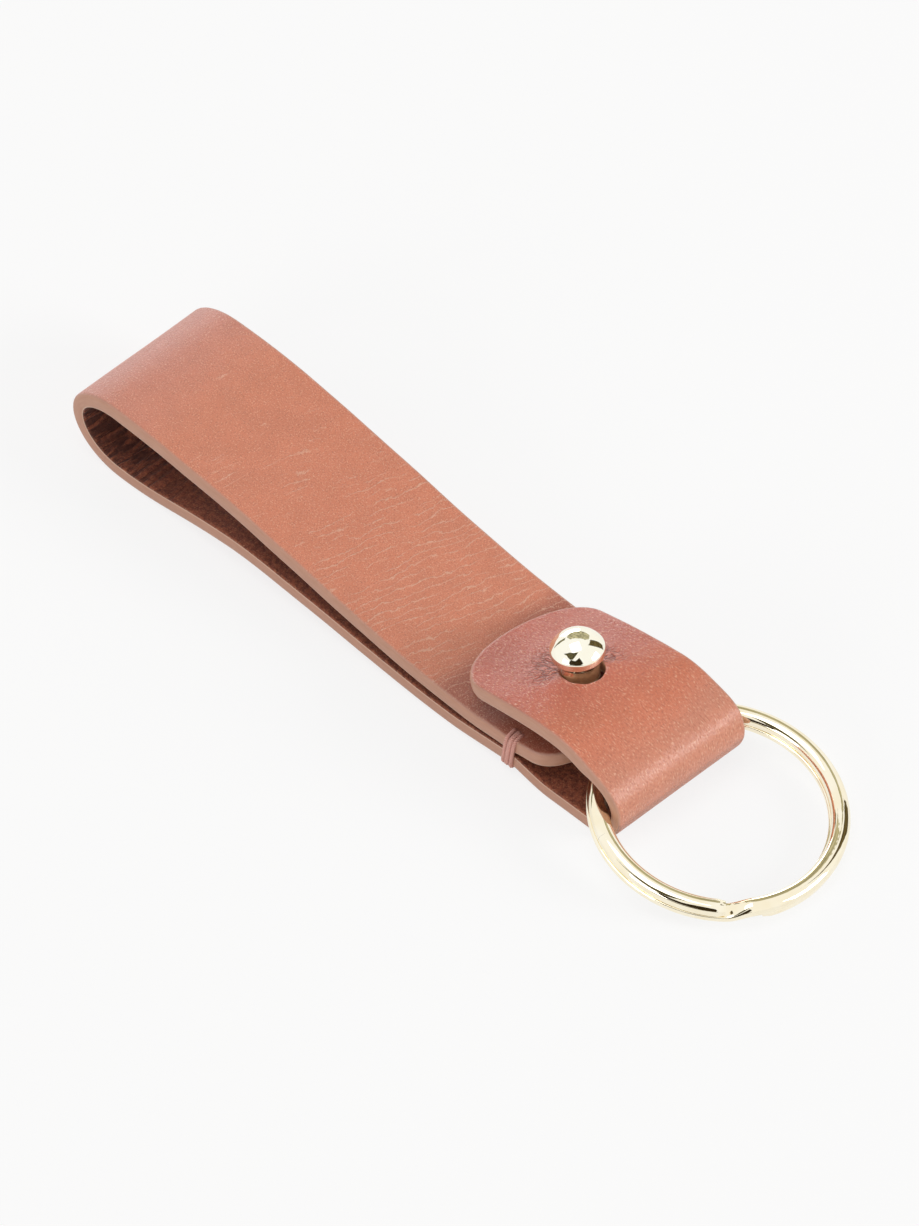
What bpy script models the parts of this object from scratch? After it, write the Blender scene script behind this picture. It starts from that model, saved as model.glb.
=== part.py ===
"""Leather key fob: one folded strap, a button stud, two thread tacks and a split ring.

The fob lies on its back as it would on a table. +X runs along the strap from the hand loop to the
ring, +Y across it, and +Z up. The origin is at the middle of the footprint, on the table.

The strap is one band of face leather glued to one band of lining. It starts at the tongue, runs
back to the hand loop, turns over, returns underneath, folds round the ring and ends as the flap
that buttons on the stud. The band is divided once, on the fold, where the flap bends open.
"""

import math

import bmesh
import bpy
import numpy as np
from mathutils import Matrix, Vector

# Fits
GAP = 0.0003
OVERRUN = 0.001

# Leather band
STRAP_WIDTH = 0.0200
STRAP_LENGTH = 0.0905
PLY_THICKNESS = 0.00085
EDGE_ROUND = 0.00025
END_DEPTH = 0.0055
SMALLEST_TIP_SHARE = 0.02

# Hand loop, with heights to the outside of the leather
LOOP_BEND_LENGTH = 0.0078
LOOP_HEIGHT = 0.0120
LOOP_SIDE_HEIGHT = 0.0065
ARCH_FROM_BEND = 0.0205
ARCH_RISE = 0.0021

# Lower leaf beside the stud, with rises from the table
TACK_PAST_STUD = 0.0022
TACK_RISE = 0.00085
LEAF_DIP_LENGTH = 0.0098
LEAF_DIP_RISE = 0.00015
LEAF_FALL_LENGTH = 0.0062

# Tongue
STUD_FROM_TONGUE_TIP = 0.0060
STUD_FLAT_REACH = 0.0034
LEAVES_MEET_LENGTH = 0.0090
LEAVES_MEET_GAP = 0.0008

# Fold and flap
FOLD_RADIUS = 0.00485
FOLD_HINGE_ANGLE = 45.0
FOLD_LEAVE_ANGLE = 70.0
FLAP_OVER_RING = 0.00253
FLAP_PEAK_BACK = 0.0099
FLAP_PAST_STUD = 0.0118
FLAP_TIP_DROP = 0.0031

# Button stud, measured along its own axis
STUD_LEAN = 7.0
STUD_OVER_LEAF = 0.00285
HEAD_RADIUS = 0.0031
HEAD_DOME = 0.00225
HEAD_RIM = 0.0004
HEAD_UNDERCUT = 0.0008
NECK_RADIUS = 0.0024
NECK_HEIGHT = 0.0050
FOOT_RADIUS = 0.00325
FOOT_THICKNESS = 0.0009
FOOT_ROUND = 0.0003
SCREW_RADIUS = 0.0013
SCREW_REACH = 0.0030
SCREW_HEAD_RADIUS = 0.0030
SCREW_HEAD_THICKNESS = 0.0007
SCREW_SLOT_WIDTH = 0.0007
SCREW_SLOT_DEPTH = 0.0004
BUTTONHOLE_STRETCH = 0.0011

# Thread tacks
THREAD_DIAMETER = 0.0005
THREAD_PITCH = 0.00065
THREAD_TURNS = 4
TACK_INSET = 0.0016

# Split ring
RING_DIAMETER = 0.0300
WIRE_WIDTH = 0.0022
WIRE_THICKNESS = 0.0011
WIRE_ROUND = 0.00035
TURN_GAP = 0.0003
RING_ASIDE_SHARE = 0.035
RING_TILT = 7.8
RING_ROLL = -1.5
RING_SLACK = 0.00076
SPLIT_ANGLE = -36.0
CROSSOVER_ANGLE = 12.0
UPPER_END_CLEAR_ANGLE = 1.5
LOWER_END_CLEAR_ANGLE = 5.5
PRY_ANGLE = 70.0
WIRE_END_SHARE = 0.72
WIRE_END_LENGTH = 0.0016

# Fineness of the facets
TURN_PER_FACET = 7.5
CURVE_STEPS = 6
END_STEPS = 8
ROUND_STEPS = 40
WIRE_STEP_ANGLE = 5.0
CORNER_STEPS = 3
BEVEL_SEGMENTS = 2
DENSE_STEPS = 200

# Places worked out from the sizes above
LEATHER = 2 * PLY_THICKNESS + GAP
HALF_LEATHER = LEATHER / 2
HALF_WIDTH = STRAP_WIDTH / 2
RING_RADIUS = RING_DIAMETER / 2
WIRE_STACK = 2 * WIRE_THICKNESS + TURN_GAP
TILT = math.radians(RING_TILT)
ROLL = math.radians(RING_ROLL)
RING_BORE_RADIUS = RING_RADIUS - WIRE_WIDTH
RING_ASIDE = (RING_BORE_RADIUS - HALF_WIDTH) * RING_ASIDE_SHARE
STRAP_Y = -RING_ASIDE
RING_OVER_EDGE = math.sqrt(RING_BORE_RADIUS**2 - (HALF_WIDTH + RING_ASIDE) ** 2)
RING_AHEAD = RING_OVER_EDGE - LEATHER - RING_SLACK
RING_REACH = RING_AHEAD + RING_RADIUS * math.cos(TILT) + WIRE_STACK / 2 * math.sin(TILT)
FOLD_END_X = (STRAP_LENGTH - RING_REACH) / 2
QUARTER_PULL_SHARE = 0.5523
THIRD_PULL_SHARE = 1 / 3

# Distances back from the end of the fold
LOOP_CREST_BACK = STRAP_LENGTH - LOOP_BEND_LENGTH
ARCH_BACK = LOOP_CREST_BACK - ARCH_FROM_BEND
TONGUE_TIP_BACK = RING_RADIUS * math.cos(TILT) - RING_AHEAD + GAP
STUD_BACK = TONGUE_TIP_BACK + STUD_FROM_TONGUE_TIP
LEAVES_MEET_BACK = STUD_BACK + LEAVES_MEET_LENGTH
TACK_BACK = STUD_BACK + TACK_PAST_STUD
LEAF_DIP_BACK = TACK_BACK + LEAF_DIP_LENGTH
FLAT_BACK = TACK_BACK - LEAF_FALL_LENGTH
FLAP_TIP_BACK = STUD_BACK + FLAP_PAST_STUD


def clear_scene():
    """Remove every object that the scene holds."""
    for obj in list(bpy.data.objects):
        bpy.data.objects.remove(obj, do_unlink=True)


def make_collection(name):
    """Add a collection to the scene."""
    collection = bpy.data.collections.new(name)
    bpy.context.scene.collection.children.link(collection)
    return collection


def make_material(name, colour, roughness, metallic):
    """Add a Principled material in one colour."""
    material = bpy.data.materials.new(name)
    material.use_nodes = True
    shader = material.node_tree.nodes["Principled BSDF"]
    shader.inputs["Base Color"].default_value = (*colour, 1.0)
    shader.inputs["Roughness"].default_value = roughness
    shader.inputs["Metallic"].default_value = metallic
    material.diffuse_color = (*colour, 1.0)
    return material


def add_object(name, data, collection, material=None, parent=None):
    """Link a new object into a collection, under a parent where one is given."""
    obj = bpy.data.objects.new(name, data)
    collection.objects.link(obj)
    if material is not None:
        data.materials.append(material)
    obj.parent = parent
    return obj


def add_empty(name, collection, location, roll, tilt):
    """Add an empty that stands on a piece's seat, turned about +X and then about +Y."""
    empty = bpy.data.objects.new(name, None)
    collection.objects.link(empty)
    empty.location = location
    empty.rotation_euler = (roll, tilt, 0.0)
    return empty


def mesh_object(name, build, collection, material=None, parent=None):
    """Make a mesh object from a function that fills a bmesh."""
    mesh = bpy.data.meshes.new(name)
    shape = bmesh.new()
    build(shape)
    shape.to_mesh(mesh)
    shape.free()
    return add_object(name, mesh, collection, material, parent)


def hide_as_cutter(obj):
    """Keep a cutter out of renders and draw it as wire."""
    obj.hide_render = True
    obj.display_type = "WIRE"
    return obj


def cut(obj, cutter):
    """Take a cutter's shape out of a piece."""
    modifier = obj.modifiers.new("Cut " + cutter.name, "BOOLEAN")
    modifier.operation = "DIFFERENCE"
    modifier.solver = "EXACT"
    modifier.object = cutter


def shade_round(obj, angle=40.0):
    """Shade a piece smooth, with its sharp edges kept."""
    obj.data.shade_smooth()
    obj.data.set_sharp_from_angle(angle=math.radians(angle))


def direction(angle):
    """A unit vector in the side view (X, Z) at an angle in degrees above +X."""
    return np.array([math.cos(math.radians(angle)), math.sin(math.radians(angle))])


def station(back, height):
    """A point in the side view, so far back from the end of the fold and so high."""
    return np.array([FOLD_END_X - back, height])


def bezier_points(start, start_angle, end, end_angle, start_pull, end_pull, count):
    """Points of a cubic curve that leaves and arrives at the given angles."""
    handle_a = start + direction(start_angle) * start_pull
    handle_b = end - direction(end_angle) * end_pull
    t = np.linspace(0.0, 1.0, count + 1)[:, None]
    s = 1 - t
    return s**3 * start + 3 * s**2 * t * handle_a + 3 * s * t**2 * handle_b + t**3 * end


def steps_for(points):
    """How many facets a curve needs for the angle that it turns through."""
    way = np.diff(points, axis=0)
    headings = np.unwrap(np.arctan2(way[:, 1], way[:, 0]))
    turned = math.degrees(np.abs(np.diff(headings)).sum())
    return max(CURVE_STEPS, math.ceil(turned / TURN_PER_FACET))


def bezier(start, start_angle, end, end_angle, start_pull, end_pull):
    """A cubic curve with as many facets as its bend needs."""
    sizes = (start, start_angle, end, end_angle, start_pull, end_pull)
    return bezier_points(*sizes, steps_for(bezier_points(*sizes, DENSE_STEPS)))


def level_run(start, end, heading):
    """A smooth step between two heights that starts and ends level."""
    pull = abs(end[0] - start[0]) * THIRD_PULL_SHARE
    return bezier(start, heading, end, heading, pull, pull)


def quarter_turn(start, start_angle, end, end_angle):
    """A quarter of an ellipse between a level and an upright tangent."""
    span = np.abs(end - start) * QUARTER_PULL_SHARE
    pulls = span if abs(direction(start_angle)[0]) > 0.5 else span[::-1]
    return bezier(start, start_angle, end, end_angle, pulls[0], pulls[1])


def arc(centre, radius, start_angle, end_angle):
    """Points on an arc in the side view."""
    count = math.ceil(abs(end_angle - start_angle) / TURN_PER_FACET)
    angles = np.linspace(start_angle, end_angle, count + 1)
    return np.array([centre + radius * direction(a) for a in angles])


def chain(runs):
    """Join runs that meet end to end into one route."""
    return np.concatenate([runs[0]] + [run[1:] for run in runs[1:]])


def distances(route):
    """The distance along a route to each of its points."""
    lengths = np.hypot(*np.diff(route, axis=0).T)
    return np.concatenate([[0.0], np.cumsum(lengths)])


FOLD_CENTRE = station(FOLD_RADIUS, FOLD_RADIUS)
FOLD_MIDDLE_RADIUS = FOLD_RADIUS - HALF_LEATHER
STUD_HEIGHT = LEATHER + STUD_OVER_LEAF
LEAVES_MEET_HEIGHT = LEAF_DIP_RISE + LEATHER + LEAVES_MEET_GAP + HALF_LEATHER
RING_LEVEL = math.cos(TILT) * math.cos(ROLL)
RING_HEIGHT = RING_RADIUS * math.sqrt(1 - RING_LEVEL**2) + WIRE_STACK / 2 * RING_LEVEL
RING_CENTRE = (FOLD_END_X + RING_AHEAD, 0.0, RING_HEIGHT)
FLAP_HEIGHT = 2 * RING_HEIGHT + FLAP_OVER_RING + LEATHER


def tongue_route():
    """The middle of the leather from the tongue's tip back to the crest of the hand loop."""
    stud = station(STUD_BACK, STUD_HEIGHT)
    way = direction(180.0 + STUD_LEAN)
    tip = stud - way * STUD_FROM_TONGUE_TIP
    flat_end = stud + way * STUD_FLAT_REACH
    meet = station(LEAVES_MEET_BACK, LEAVES_MEET_HEIGHT)
    crest = station(LOOP_CREST_BACK, LOOP_HEIGHT - HALF_LEATHER)
    pull = abs(flat_end[0] - meet[0]) * THIRD_PULL_SHARE
    return chain(
        [
            np.array([tip, flat_end]),
            bezier(flat_end, 180.0 + STUD_LEAN, meet, 180.0, pull, pull),
            level_run(meet, crest, 180.0),
        ]
    )


def held_route():
    """The middle of the leather from the tongue's tip, round the loop, to the hinge on the fold."""
    crest = station(LOOP_CREST_BACK, LOOP_HEIGHT - HALF_LEATHER)
    side = station(STRAP_LENGTH - HALF_LEATHER, LOOP_SIDE_HEIGHT)
    low = station(LOOP_CREST_BACK, HALF_LEATHER)
    arch = station(ARCH_BACK, HALF_LEATHER + ARCH_RISE)
    dip = station(LEAF_DIP_BACK, HALF_LEATHER + LEAF_DIP_RISE)
    tack = station(TACK_BACK, HALF_LEATHER + TACK_RISE)
    flat = station(FLAT_BACK, HALF_LEATHER)
    return chain(
        [
            tongue_route(),
            quarter_turn(crest, 180.0, side, 270.0),
            quarter_turn(side, 270.0, low, 0.0),
            level_run(low, arch, 0.0),
            level_run(arch, dip, 0.0),
            level_run(dip, tack, 0.0),
            level_run(tack, flat, 0.0),
            np.array([flat, station(FOLD_RADIUS, HALF_LEATHER)]),
            arc(FOLD_CENTRE, FOLD_MIDDLE_RADIUS, -90.0, FOLD_HINGE_ANGLE),
        ]
    )


def flap_route():
    """The middle of the leather from the hinge on the fold to the flap's tip."""
    rise = arc(FOLD_CENTRE, FOLD_MIDDLE_RADIUS, FOLD_HINGE_ANGLE, FOLD_LEAVE_ANGLE)
    peak = station(FLAP_PEAK_BACK, FLAP_HEIGHT - HALF_LEATHER)
    tip = station(FLAP_TIP_BACK, FLAP_HEIGHT - HALF_LEATHER - FLAP_TIP_DROP)
    up_pull = abs(rise[-1][0] - peak[0]) * THIRD_PULL_SHARE
    down_pull = abs(tip[0] - peak[0]) * THIRD_PULL_SHARE
    return chain(
        [
            rise,
            bezier(rise[-1], FOLD_LEAVE_ANGLE + 90.0, peak, 180.0, up_pull, up_pull),
            bezier(peak, 180.0, tip, 180.0 + STUD_LEAN, down_pull, down_pull),
        ]
    )


def half_width(from_tip):
    """Half the band's width near a rounded end: a half ellipse as deep as END_DEPTH."""
    share = np.clip(1.0 - np.asarray(from_tip) / END_DEPTH, 0.0, 1.0)
    return HALF_WIDTH * np.sqrt(1.0 - share**2)


def tip_stations():
    """Distances from a rounded end at which its outline is drawn."""
    angles = np.linspace(0.0, math.pi / 2, END_STEPS + 1)
    depths = END_DEPTH * (1.0 - np.cos(angles))
    depths[0] = END_DEPTH * SMALLEST_TIP_SHARE / 2
    return depths


def bent_band(shape, route, tip_first, side):
    """Bend a flat grid along a route. side is +1 for the route's left, -1 for its right.

    The grid lies on the glued face of the ply, half a glue gap away from the route.
    """
    along = distances(route)
    length = along[-1]
    tips = tip_stations()
    tips = tips if tip_first else length - tips
    first, last = (tips[0], length - GAP / 2) if tip_first else (GAP / 2, tips[0])
    clear = 2 * EDGE_ROUND
    inner = along[(along > first + clear) & (along < last - clear)]
    marks = np.unique(np.round(np.concatenate([inner, tips, [first, last]]), 6))
    marks = marks[np.concatenate([[True], np.diff(marks) > EDGE_ROUND])]
    bmesh.ops.create_grid(shape, x_segments=len(marks) - 1, y_segments=1, size=1.0)
    centre = np.stack([np.interp(marks, along, route[:, k]) for k in (0, 1)], axis=1)
    way = np.gradient(centre, axis=0)
    normal = np.stack([-way[:, 1], way[:, 0]], axis=1)
    normal /= np.linalg.norm(normal, axis=1)[:, None]
    centre = centre + normal * side * GAP / 2
    widths = half_width(marks if tip_first else length - marks)
    for vertex in shape.verts:
        row = round((vertex.co.x + 1.0) / 2 * (len(marks) - 1))
        reach = math.copysign(widths[row], vertex.co.y)
        vertex.co = (centre[row][0], STRAP_Y + reach, centre[row][1])


def leather_ply(name, route, tip_first, side, collection, material):
    """One ply of the band: a bent sheet with its thickness and rounded edges."""
    obj = mesh_object(
        name,
        lambda shape: bent_band(shape, route, tip_first, side),
        collection,
        material,
    )
    wall = obj.modifiers.new("Ply", "SOLIDIFY")
    wall.thickness = PLY_THICKNESS
    wall.offset = side
    wall.use_even_offset = True
    edge = obj.modifiers.new("Rounded edge", "BEVEL")
    edge.width = EDGE_ROUND
    edge.segments = BEVEL_SEGMENTS
    edge.limit_method = "ANGLE"
    edge.angle_limit = math.radians(50.0)
    shade_round(obj)
    return obj


def cylinder(shape, radius, bottom, top, segments=ROUND_STEPS):
    """An upright cylinder between two heights."""
    bmesh.ops.create_cone(
        shape,
        cap_ends=True,
        segments=segments,
        radius1=radius,
        radius2=radius,
        depth=top - bottom,
        matrix=Matrix.Translation((0.0, 0.0, (top + bottom) / 2)),
    )


def box(shape, low, high):
    """A box between two corners."""
    low, high = Vector(low), Vector(high)
    matrix = Matrix.Translation((low + high) / 2) @ Matrix.Diagonal((high - low).to_4d())
    bmesh.ops.create_cube(shape, size=1.0, matrix=matrix)


def stretched_hole(shape):
    """The buttonhole: a round hole wider than the head, drawn out towards the flap's tip.

    The drawn-out part is what the stiff leather needs to swing over the head.
    """
    cylinder(shape, HEAD_RADIUS + GAP, FOOT_BOTTOM, NECK_TOP + OVERRUN)
    for vertex in shape.verts:
        if vertex.co.x < -GAP:
            vertex.co.x -= BUTTONHOLE_STRETCH


# Heights on the stud's axis, from the middle of the tongue's leather
FOOT_BOTTOM = HALF_LEATHER + GAP
FOOT_TOP = FOOT_BOTTOM + FOOT_THICKNESS
NECK_TOP = FOOT_TOP + NECK_HEIGHT
RIM_BOTTOM = NECK_TOP + HEAD_UNDERCUT
RIM_TOP = RIM_BOTTOM + HEAD_RIM
SCREW_HEAD_TOP = -GAP / 2
SCREW_HEAD_BOTTOM = SCREW_HEAD_TOP - SCREW_HEAD_THICKNESS
SCREW_TOP = FOOT_BOTTOM + SCREW_REACH


def round_corner(centre, radius, start_angle, end_angle):
    """Points round a small corner of a turned profile."""
    angles = np.linspace(start_angle, end_angle, CORNER_STEPS + 1)
    return [tuple(np.array(centre) + radius * direction(a)) for a in angles]


def stud_profile():
    """Half the stud's outline, from the top of the dome down its outside and up its bore."""
    sphere = (HEAD_RADIUS**2 + HEAD_DOME**2) / (2 * HEAD_DOME)
    centre = RIM_TOP + HEAD_DOME - sphere
    edge = math.degrees(math.asin((RIM_TOP - centre) / sphere))
    angles = np.linspace(90.0, edge, ROUND_STEPS // 4)
    dome = [tuple(np.array([0.0, centre]) + sphere * direction(a)) for a in angles[1:]]
    foot_edge = FOOT_RADIUS - FOOT_ROUND
    return (
        [(0.0, RIM_TOP + HEAD_DOME)]
        + dome
        + [(HEAD_RADIUS, RIM_BOTTOM), (NECK_RADIUS, NECK_TOP)]
        + round_corner((NECK_RADIUS + FOOT_ROUND, FOOT_TOP + FOOT_ROUND), FOOT_ROUND, 180.0, 270.0)
        + round_corner((foot_edge, FOOT_TOP - FOOT_ROUND), FOOT_ROUND, 90.0, 0.0)
        + [
            (FOOT_RADIUS, FOOT_BOTTOM),
            (SCREW_RADIUS + GAP, FOOT_BOTTOM),
            (SCREW_RADIUS + GAP, SCREW_TOP + GAP),
            (0.0, SCREW_TOP + GAP),
        ]
    )


def screw_profile():
    """Half the screw's outline, from the end of its shank down to its flat head."""
    return [
        (0.0, SCREW_TOP),
        (SCREW_RADIUS, SCREW_TOP),
        (SCREW_RADIUS, SCREW_HEAD_TOP),
        (SCREW_HEAD_RADIUS, SCREW_HEAD_TOP),
        (SCREW_HEAD_RADIUS, SCREW_HEAD_BOTTOM + SCREW_SLOT_DEPTH),
        (SCREW_HEAD_RADIUS - SCREW_SLOT_DEPTH, SCREW_HEAD_BOTTOM),
        (0.0, SCREW_HEAD_BOTTOM),
    ]


def turned(name, profile, collection, material, parent):
    """Turn a profile round the local Z axis."""

    def build(shape):
        corners = [shape.verts.new((x, 0.0, z)) for x, z in profile]
        for a, b in zip(corners, corners[1:]):
            shape.edges.new((a, b))

    obj = mesh_object(name, build, collection, material, parent)
    spin = obj.modifiers.new("Turned", "SCREW")
    spin.steps = ROUND_STEPS
    spin.render_steps = ROUND_STEPS
    spin.use_merge_vertices = True
    spin.merge_threshold = 0.00001
    spin.use_smooth_shade = True
    return obj


def tack_loops(name, edge_side, collection, material):
    """A tack: one thread wound round both edges of the strap and through a slot beside them."""
    curve = bpy.data.curves.new(name, "CURVE")
    curve.dimensions = "3D"
    curve.bevel_depth = THREAD_DIAMETER / 2
    curve.bevel_resolution = 1
    curve.use_fill_caps = True
    clear = GAP + THREAD_DIAMETER / 2
    low = TACK_RISE - clear
    high = TACK_TOP + clear
    outer = HALF_WIDTH + clear
    inner = HALF_WIDTH - TACK_INSET
    bend = min(clear, (outer - inner) / 2)
    corners = ((inner, low, 180.0), (outer, low, 270.0), (outer, high, 0.0), (inner, high, 90.0))
    loop = []
    for y, z, angle in corners:
        centre_y = y - math.copysign(bend, y - (outer + inner) / 2)
        centre_z = z - math.copysign(bend, z - (low + high) / 2)
        for step in np.linspace(angle, angle + 90.0, CORNER_STEPS + 1):
            loop.append(np.array([centre_y, centre_z]) + bend * direction(step))
    points = loop * THREAD_TURNS
    x_places = np.linspace(-0.5, 0.5, len(points)) * THREAD_TURNS * THREAD_PITCH
    spline = curve.splines.new("POLY")
    spline.points.add(len(points) - 1)
    for point, x, (y, z) in zip(spline.points, x_places, points):
        point.co = (TACK_X + x, STRAP_Y + edge_side * y, z, 1.0)
    return add_object(name, curve, collection, material)


def tack_slot(name, edge_side, collection):
    """The slot that a tack's thread goes through, cut in both leaves."""
    half_x = THREAD_TURNS * THREAD_PITCH / 2 + THREAD_DIAMETER / 2 + GAP
    half_y = THREAD_DIAMETER / 2 + GAP
    y = STRAP_Y + edge_side * (HALF_WIDTH - TACK_INSET)
    low = (TACK_X - half_x, y - half_y, TACK_RISE - OVERRUN)
    high = (TACK_X + half_x, y + half_y, TACK_TOP + OVERRUN)
    return hide_as_cutter(mesh_object(name, lambda shape: box(shape, low, high), collection))


def wire_section(collection):
    """The flattened section of the ring's wire, as a closed guide curve."""
    curve = bpy.data.curves.new("wire_section", "CURVE")
    curve.dimensions = "2D"
    half = np.array([WIRE_WIDTH / 2 - WIRE_ROUND, WIRE_THICKNESS / 2 - WIRE_ROUND])
    points = []
    for sx, sy, angle in ((1, 1, 0.0), (-1, 1, 90.0), (-1, -1, 180.0), (1, -1, 270.0)):
        for step in np.linspace(angle, angle + 90.0, CORNER_STEPS):
            points.append(half * (sx, sy) + WIRE_ROUND * direction(step))
    points.reverse()
    spline = curve.splines.new("POLY")
    spline.points.add(len(points) - 1)
    for point, (x, y) in zip(spline.points, points):
        point.co = (x, y, 0.0, 1.0)
    spline.use_cyclic_u = True
    return hide_as_cutter(add_object("wire_section", curve, collection))


def wire_level(travel):
    """Height of the wire in the ring after so many degrees of travel from its upper end."""
    middle = 360.0 + UPPER_END_ANGLE - SPLIT_ANGLE
    share = np.clip((travel - middle) / CROSSOVER_ANGLE + 0.5, 0.0, 1.0)
    smooth = share * share * (3.0 - 2.0 * share)
    return (WIRE_THICKNESS + TURN_GAP) * (0.5 - smooth)


def wire_run(name, start, end, tapers, section, collection, material, parent):
    """A stretch of the ring's wire between two angles of travel. tapers names its cut ends."""
    radius = RING_RADIUS - WIRE_WIDTH / 2
    taper_angle = math.degrees(WIRE_END_LENGTH / radius)
    marks = np.linspace(start, end, math.ceil((end - start) / WIRE_STEP_ANGLE) + 1)
    marks = np.unique(np.concatenate([marks, [start + taper_angle, end - taper_angle]]))
    curve = bpy.data.curves.new(name, "CURVE")
    curve.dimensions = "3D"
    curve.twist_mode = "Z_UP"
    curve.bevel_mode = "OBJECT"
    curve.bevel_object = section
    curve.use_fill_caps = True
    spline = curve.splines.new("POLY")
    spline.points.add(len(marks) - 1)
    for point, travel in zip(spline.points, marks):
        angle = math.radians(UPPER_END_ANGLE - travel)
        point.co = (
            radius * math.cos(angle),
            radius * math.sin(angle),
            float(wire_level(travel)),
            1.0,
        )
        at_end = (travel == marks[0] and "start" in tapers) or (
            travel == marks[-1] and "end" in tapers
        )
        point.radius = WIRE_END_SHARE if at_end else 1.0
    return add_object(name, curve, collection, material, parent)


# Angles in the ring's own plane
UPPER_END_ANGLE = SPLIT_ANGLE - CROSSOVER_ANGLE / 2 - UPPER_END_CLEAR_ANGLE
LOWER_END_ANGLE = SPLIT_ANGLE + CROSSOVER_ANGLE / 2 + LOWER_END_CLEAR_ANGLE
WIRE_TRAVEL = 720.0 + UPPER_END_ANGLE - LOWER_END_ANGLE
PRY_GAP_ANGLE = math.degrees(GAP / RING_RADIUS)

# The tack's place
TACK_X = FOLD_END_X - TACK_BACK
TONGUE_SIDE = tongue_route()[::-1]
TACK_TOP = float(np.interp(TACK_X, TONGUE_SIDE[:, 0], TONGUE_SIDE[:, 1])) + HALF_LEATHER


def build_leather(parts, cutters):
    """The band's four pieces: face and lining, each as the held strap and as the flap."""
    face = make_material("Face leather", (0.56, 0.215, 0.125), 0.52, 0.0)
    lining = make_material("Lining leather", (0.42, 0.15, 0.085), 0.6, 0.0)
    held, loose = held_route(), flap_route()
    strap = [
        leather_ply("strap_face", held, True, -1, parts, face),
        leather_ply("strap_lining", held, True, 1, parts, lining),
    ]
    flap = [
        leather_ply("flap_face", loose, False, -1, parts, face),
        leather_ply("flap_lining", loose, False, 1, parts, lining),
    ]
    for side, place in ((-1, "near"), (1, "far")):
        slot = tack_slot("tack_slot_" + place, side, cutters)
        for ply in strap:
            cut(ply, slot)
    return strap, flap


def build_stud(parts, cutters, strap, flap):
    """The button stud on the tongue, its screw from beneath, and the holes that they need."""
    brass = make_material("Polished pale brass", (0.82, 0.68, 0.42), 0.14, 1.0)
    seat = station(STUD_BACK, STUD_HEIGHT)
    place = (seat[0], STRAP_Y, seat[1])
    axis = add_empty("stud_axis", parts, place, 0.0, -math.radians(STUD_LEAN))
    turned("stud_post", stud_profile(), parts, brass, axis)
    screw = turned("stud_screw", screw_profile(), parts, brass, axis)

    def slot_shape(shape):
        reach = SCREW_HEAD_RADIUS + OVERRUN
        box(
            shape,
            (-reach, -SCREW_SLOT_WIDTH / 2, SCREW_HEAD_BOTTOM - OVERRUN),
            (reach, SCREW_SLOT_WIDTH / 2, SCREW_HEAD_BOTTOM + SCREW_SLOT_DEPTH),
        )

    def shank_shape(shape):
        cylinder(shape, SCREW_RADIUS + GAP, SCREW_HEAD_TOP, FOOT_BOTTOM)

    def recess_shape(shape):
        low = -HALF_LEATHER - OVERRUN
        cylinder(shape, SCREW_HEAD_RADIUS + GAP, low, SCREW_HEAD_TOP + GAP / 2)

    driver = hide_as_cutter(mesh_object("driver_slot", slot_shape, cutters, parent=axis))
    shank = hide_as_cutter(mesh_object("screw_hole", shank_shape, cutters, parent=axis))
    hole = hide_as_cutter(mesh_object("buttonhole", stretched_hole, cutters, parent=axis))
    recess = hide_as_cutter(mesh_object("screw_recess", recess_shape, cutters, parent=axis))
    cut(screw, driver)
    strap_face, strap_lining = strap
    cut(strap_face, shank)
    cut(strap_lining, recess)
    for ply in flap:
        cut(ply, hole)


def build_tacks(parts):
    """The thread tacks that hold the two leaves together beside the stud."""
    thread = make_material("Rose thread", (0.47, 0.19, 0.15), 0.8, 0.0)
    tack_loops("tack_near", -1, parts, thread)
    tack_loops("tack_far", 1, parts, thread)


def build_ring(parts, cutters):
    """The split ring: two turns of flattened wire, with its upper end free to be lifted."""
    gold = make_material("Polished pale gold plate", (0.86, 0.74, 0.5), 0.1, 1.0)
    seat = add_empty("ring_seat", parts, RING_CENTRE, ROLL, TILT)
    section = wire_section(cutters)
    cut_start = PRY_ANGLE + PRY_GAP_ANGLE
    wire_run("ring_free_end", 0.0, PRY_ANGLE, ("start",), section, parts, gold, seat)
    wire_run("split_ring", cut_start, WIRE_TRAVEL, ("end",), section, parts, gold, seat)


def main():
    """Build the key fob."""
    clear_scene()
    parts = make_collection("Leather key fob")
    cutters = make_collection("Cutters")
    strap, flap = build_leather(parts, cutters)
    build_stud(parts, cutters, strap, flap)
    build_tacks(parts)
    build_ring(parts, cutters)
    hinge = FOLD_CENTRE + FOLD_RADIUS * direction(FOLD_HINGE_ANGLE)
    print("flap hinge", hinge, "strap middle", STRAP_Y, "ring centre", tuple(RING_CENTRE))


main()
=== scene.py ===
"""Leather key fob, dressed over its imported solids.

One band of glued calf leather makes the tongue, the hand loop, the lower leaf, the fold round the
ring and the flap that buttons on a domed stud. Two thread tacks hold the leaves together and a
split ring of flattened wire hangs in the fold. Sizes are in millimetres, and in metres for the
lamps, the cards and the floor.
"""

import logging
import math
from dataclasses import dataclass, field
from enum import Enum

import bmesh
import bpy
import numpy as np
from bpy.types import Material, Node, NodeSocket, NodeTree, Object
from mathutils import Matrix, Vector


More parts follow.
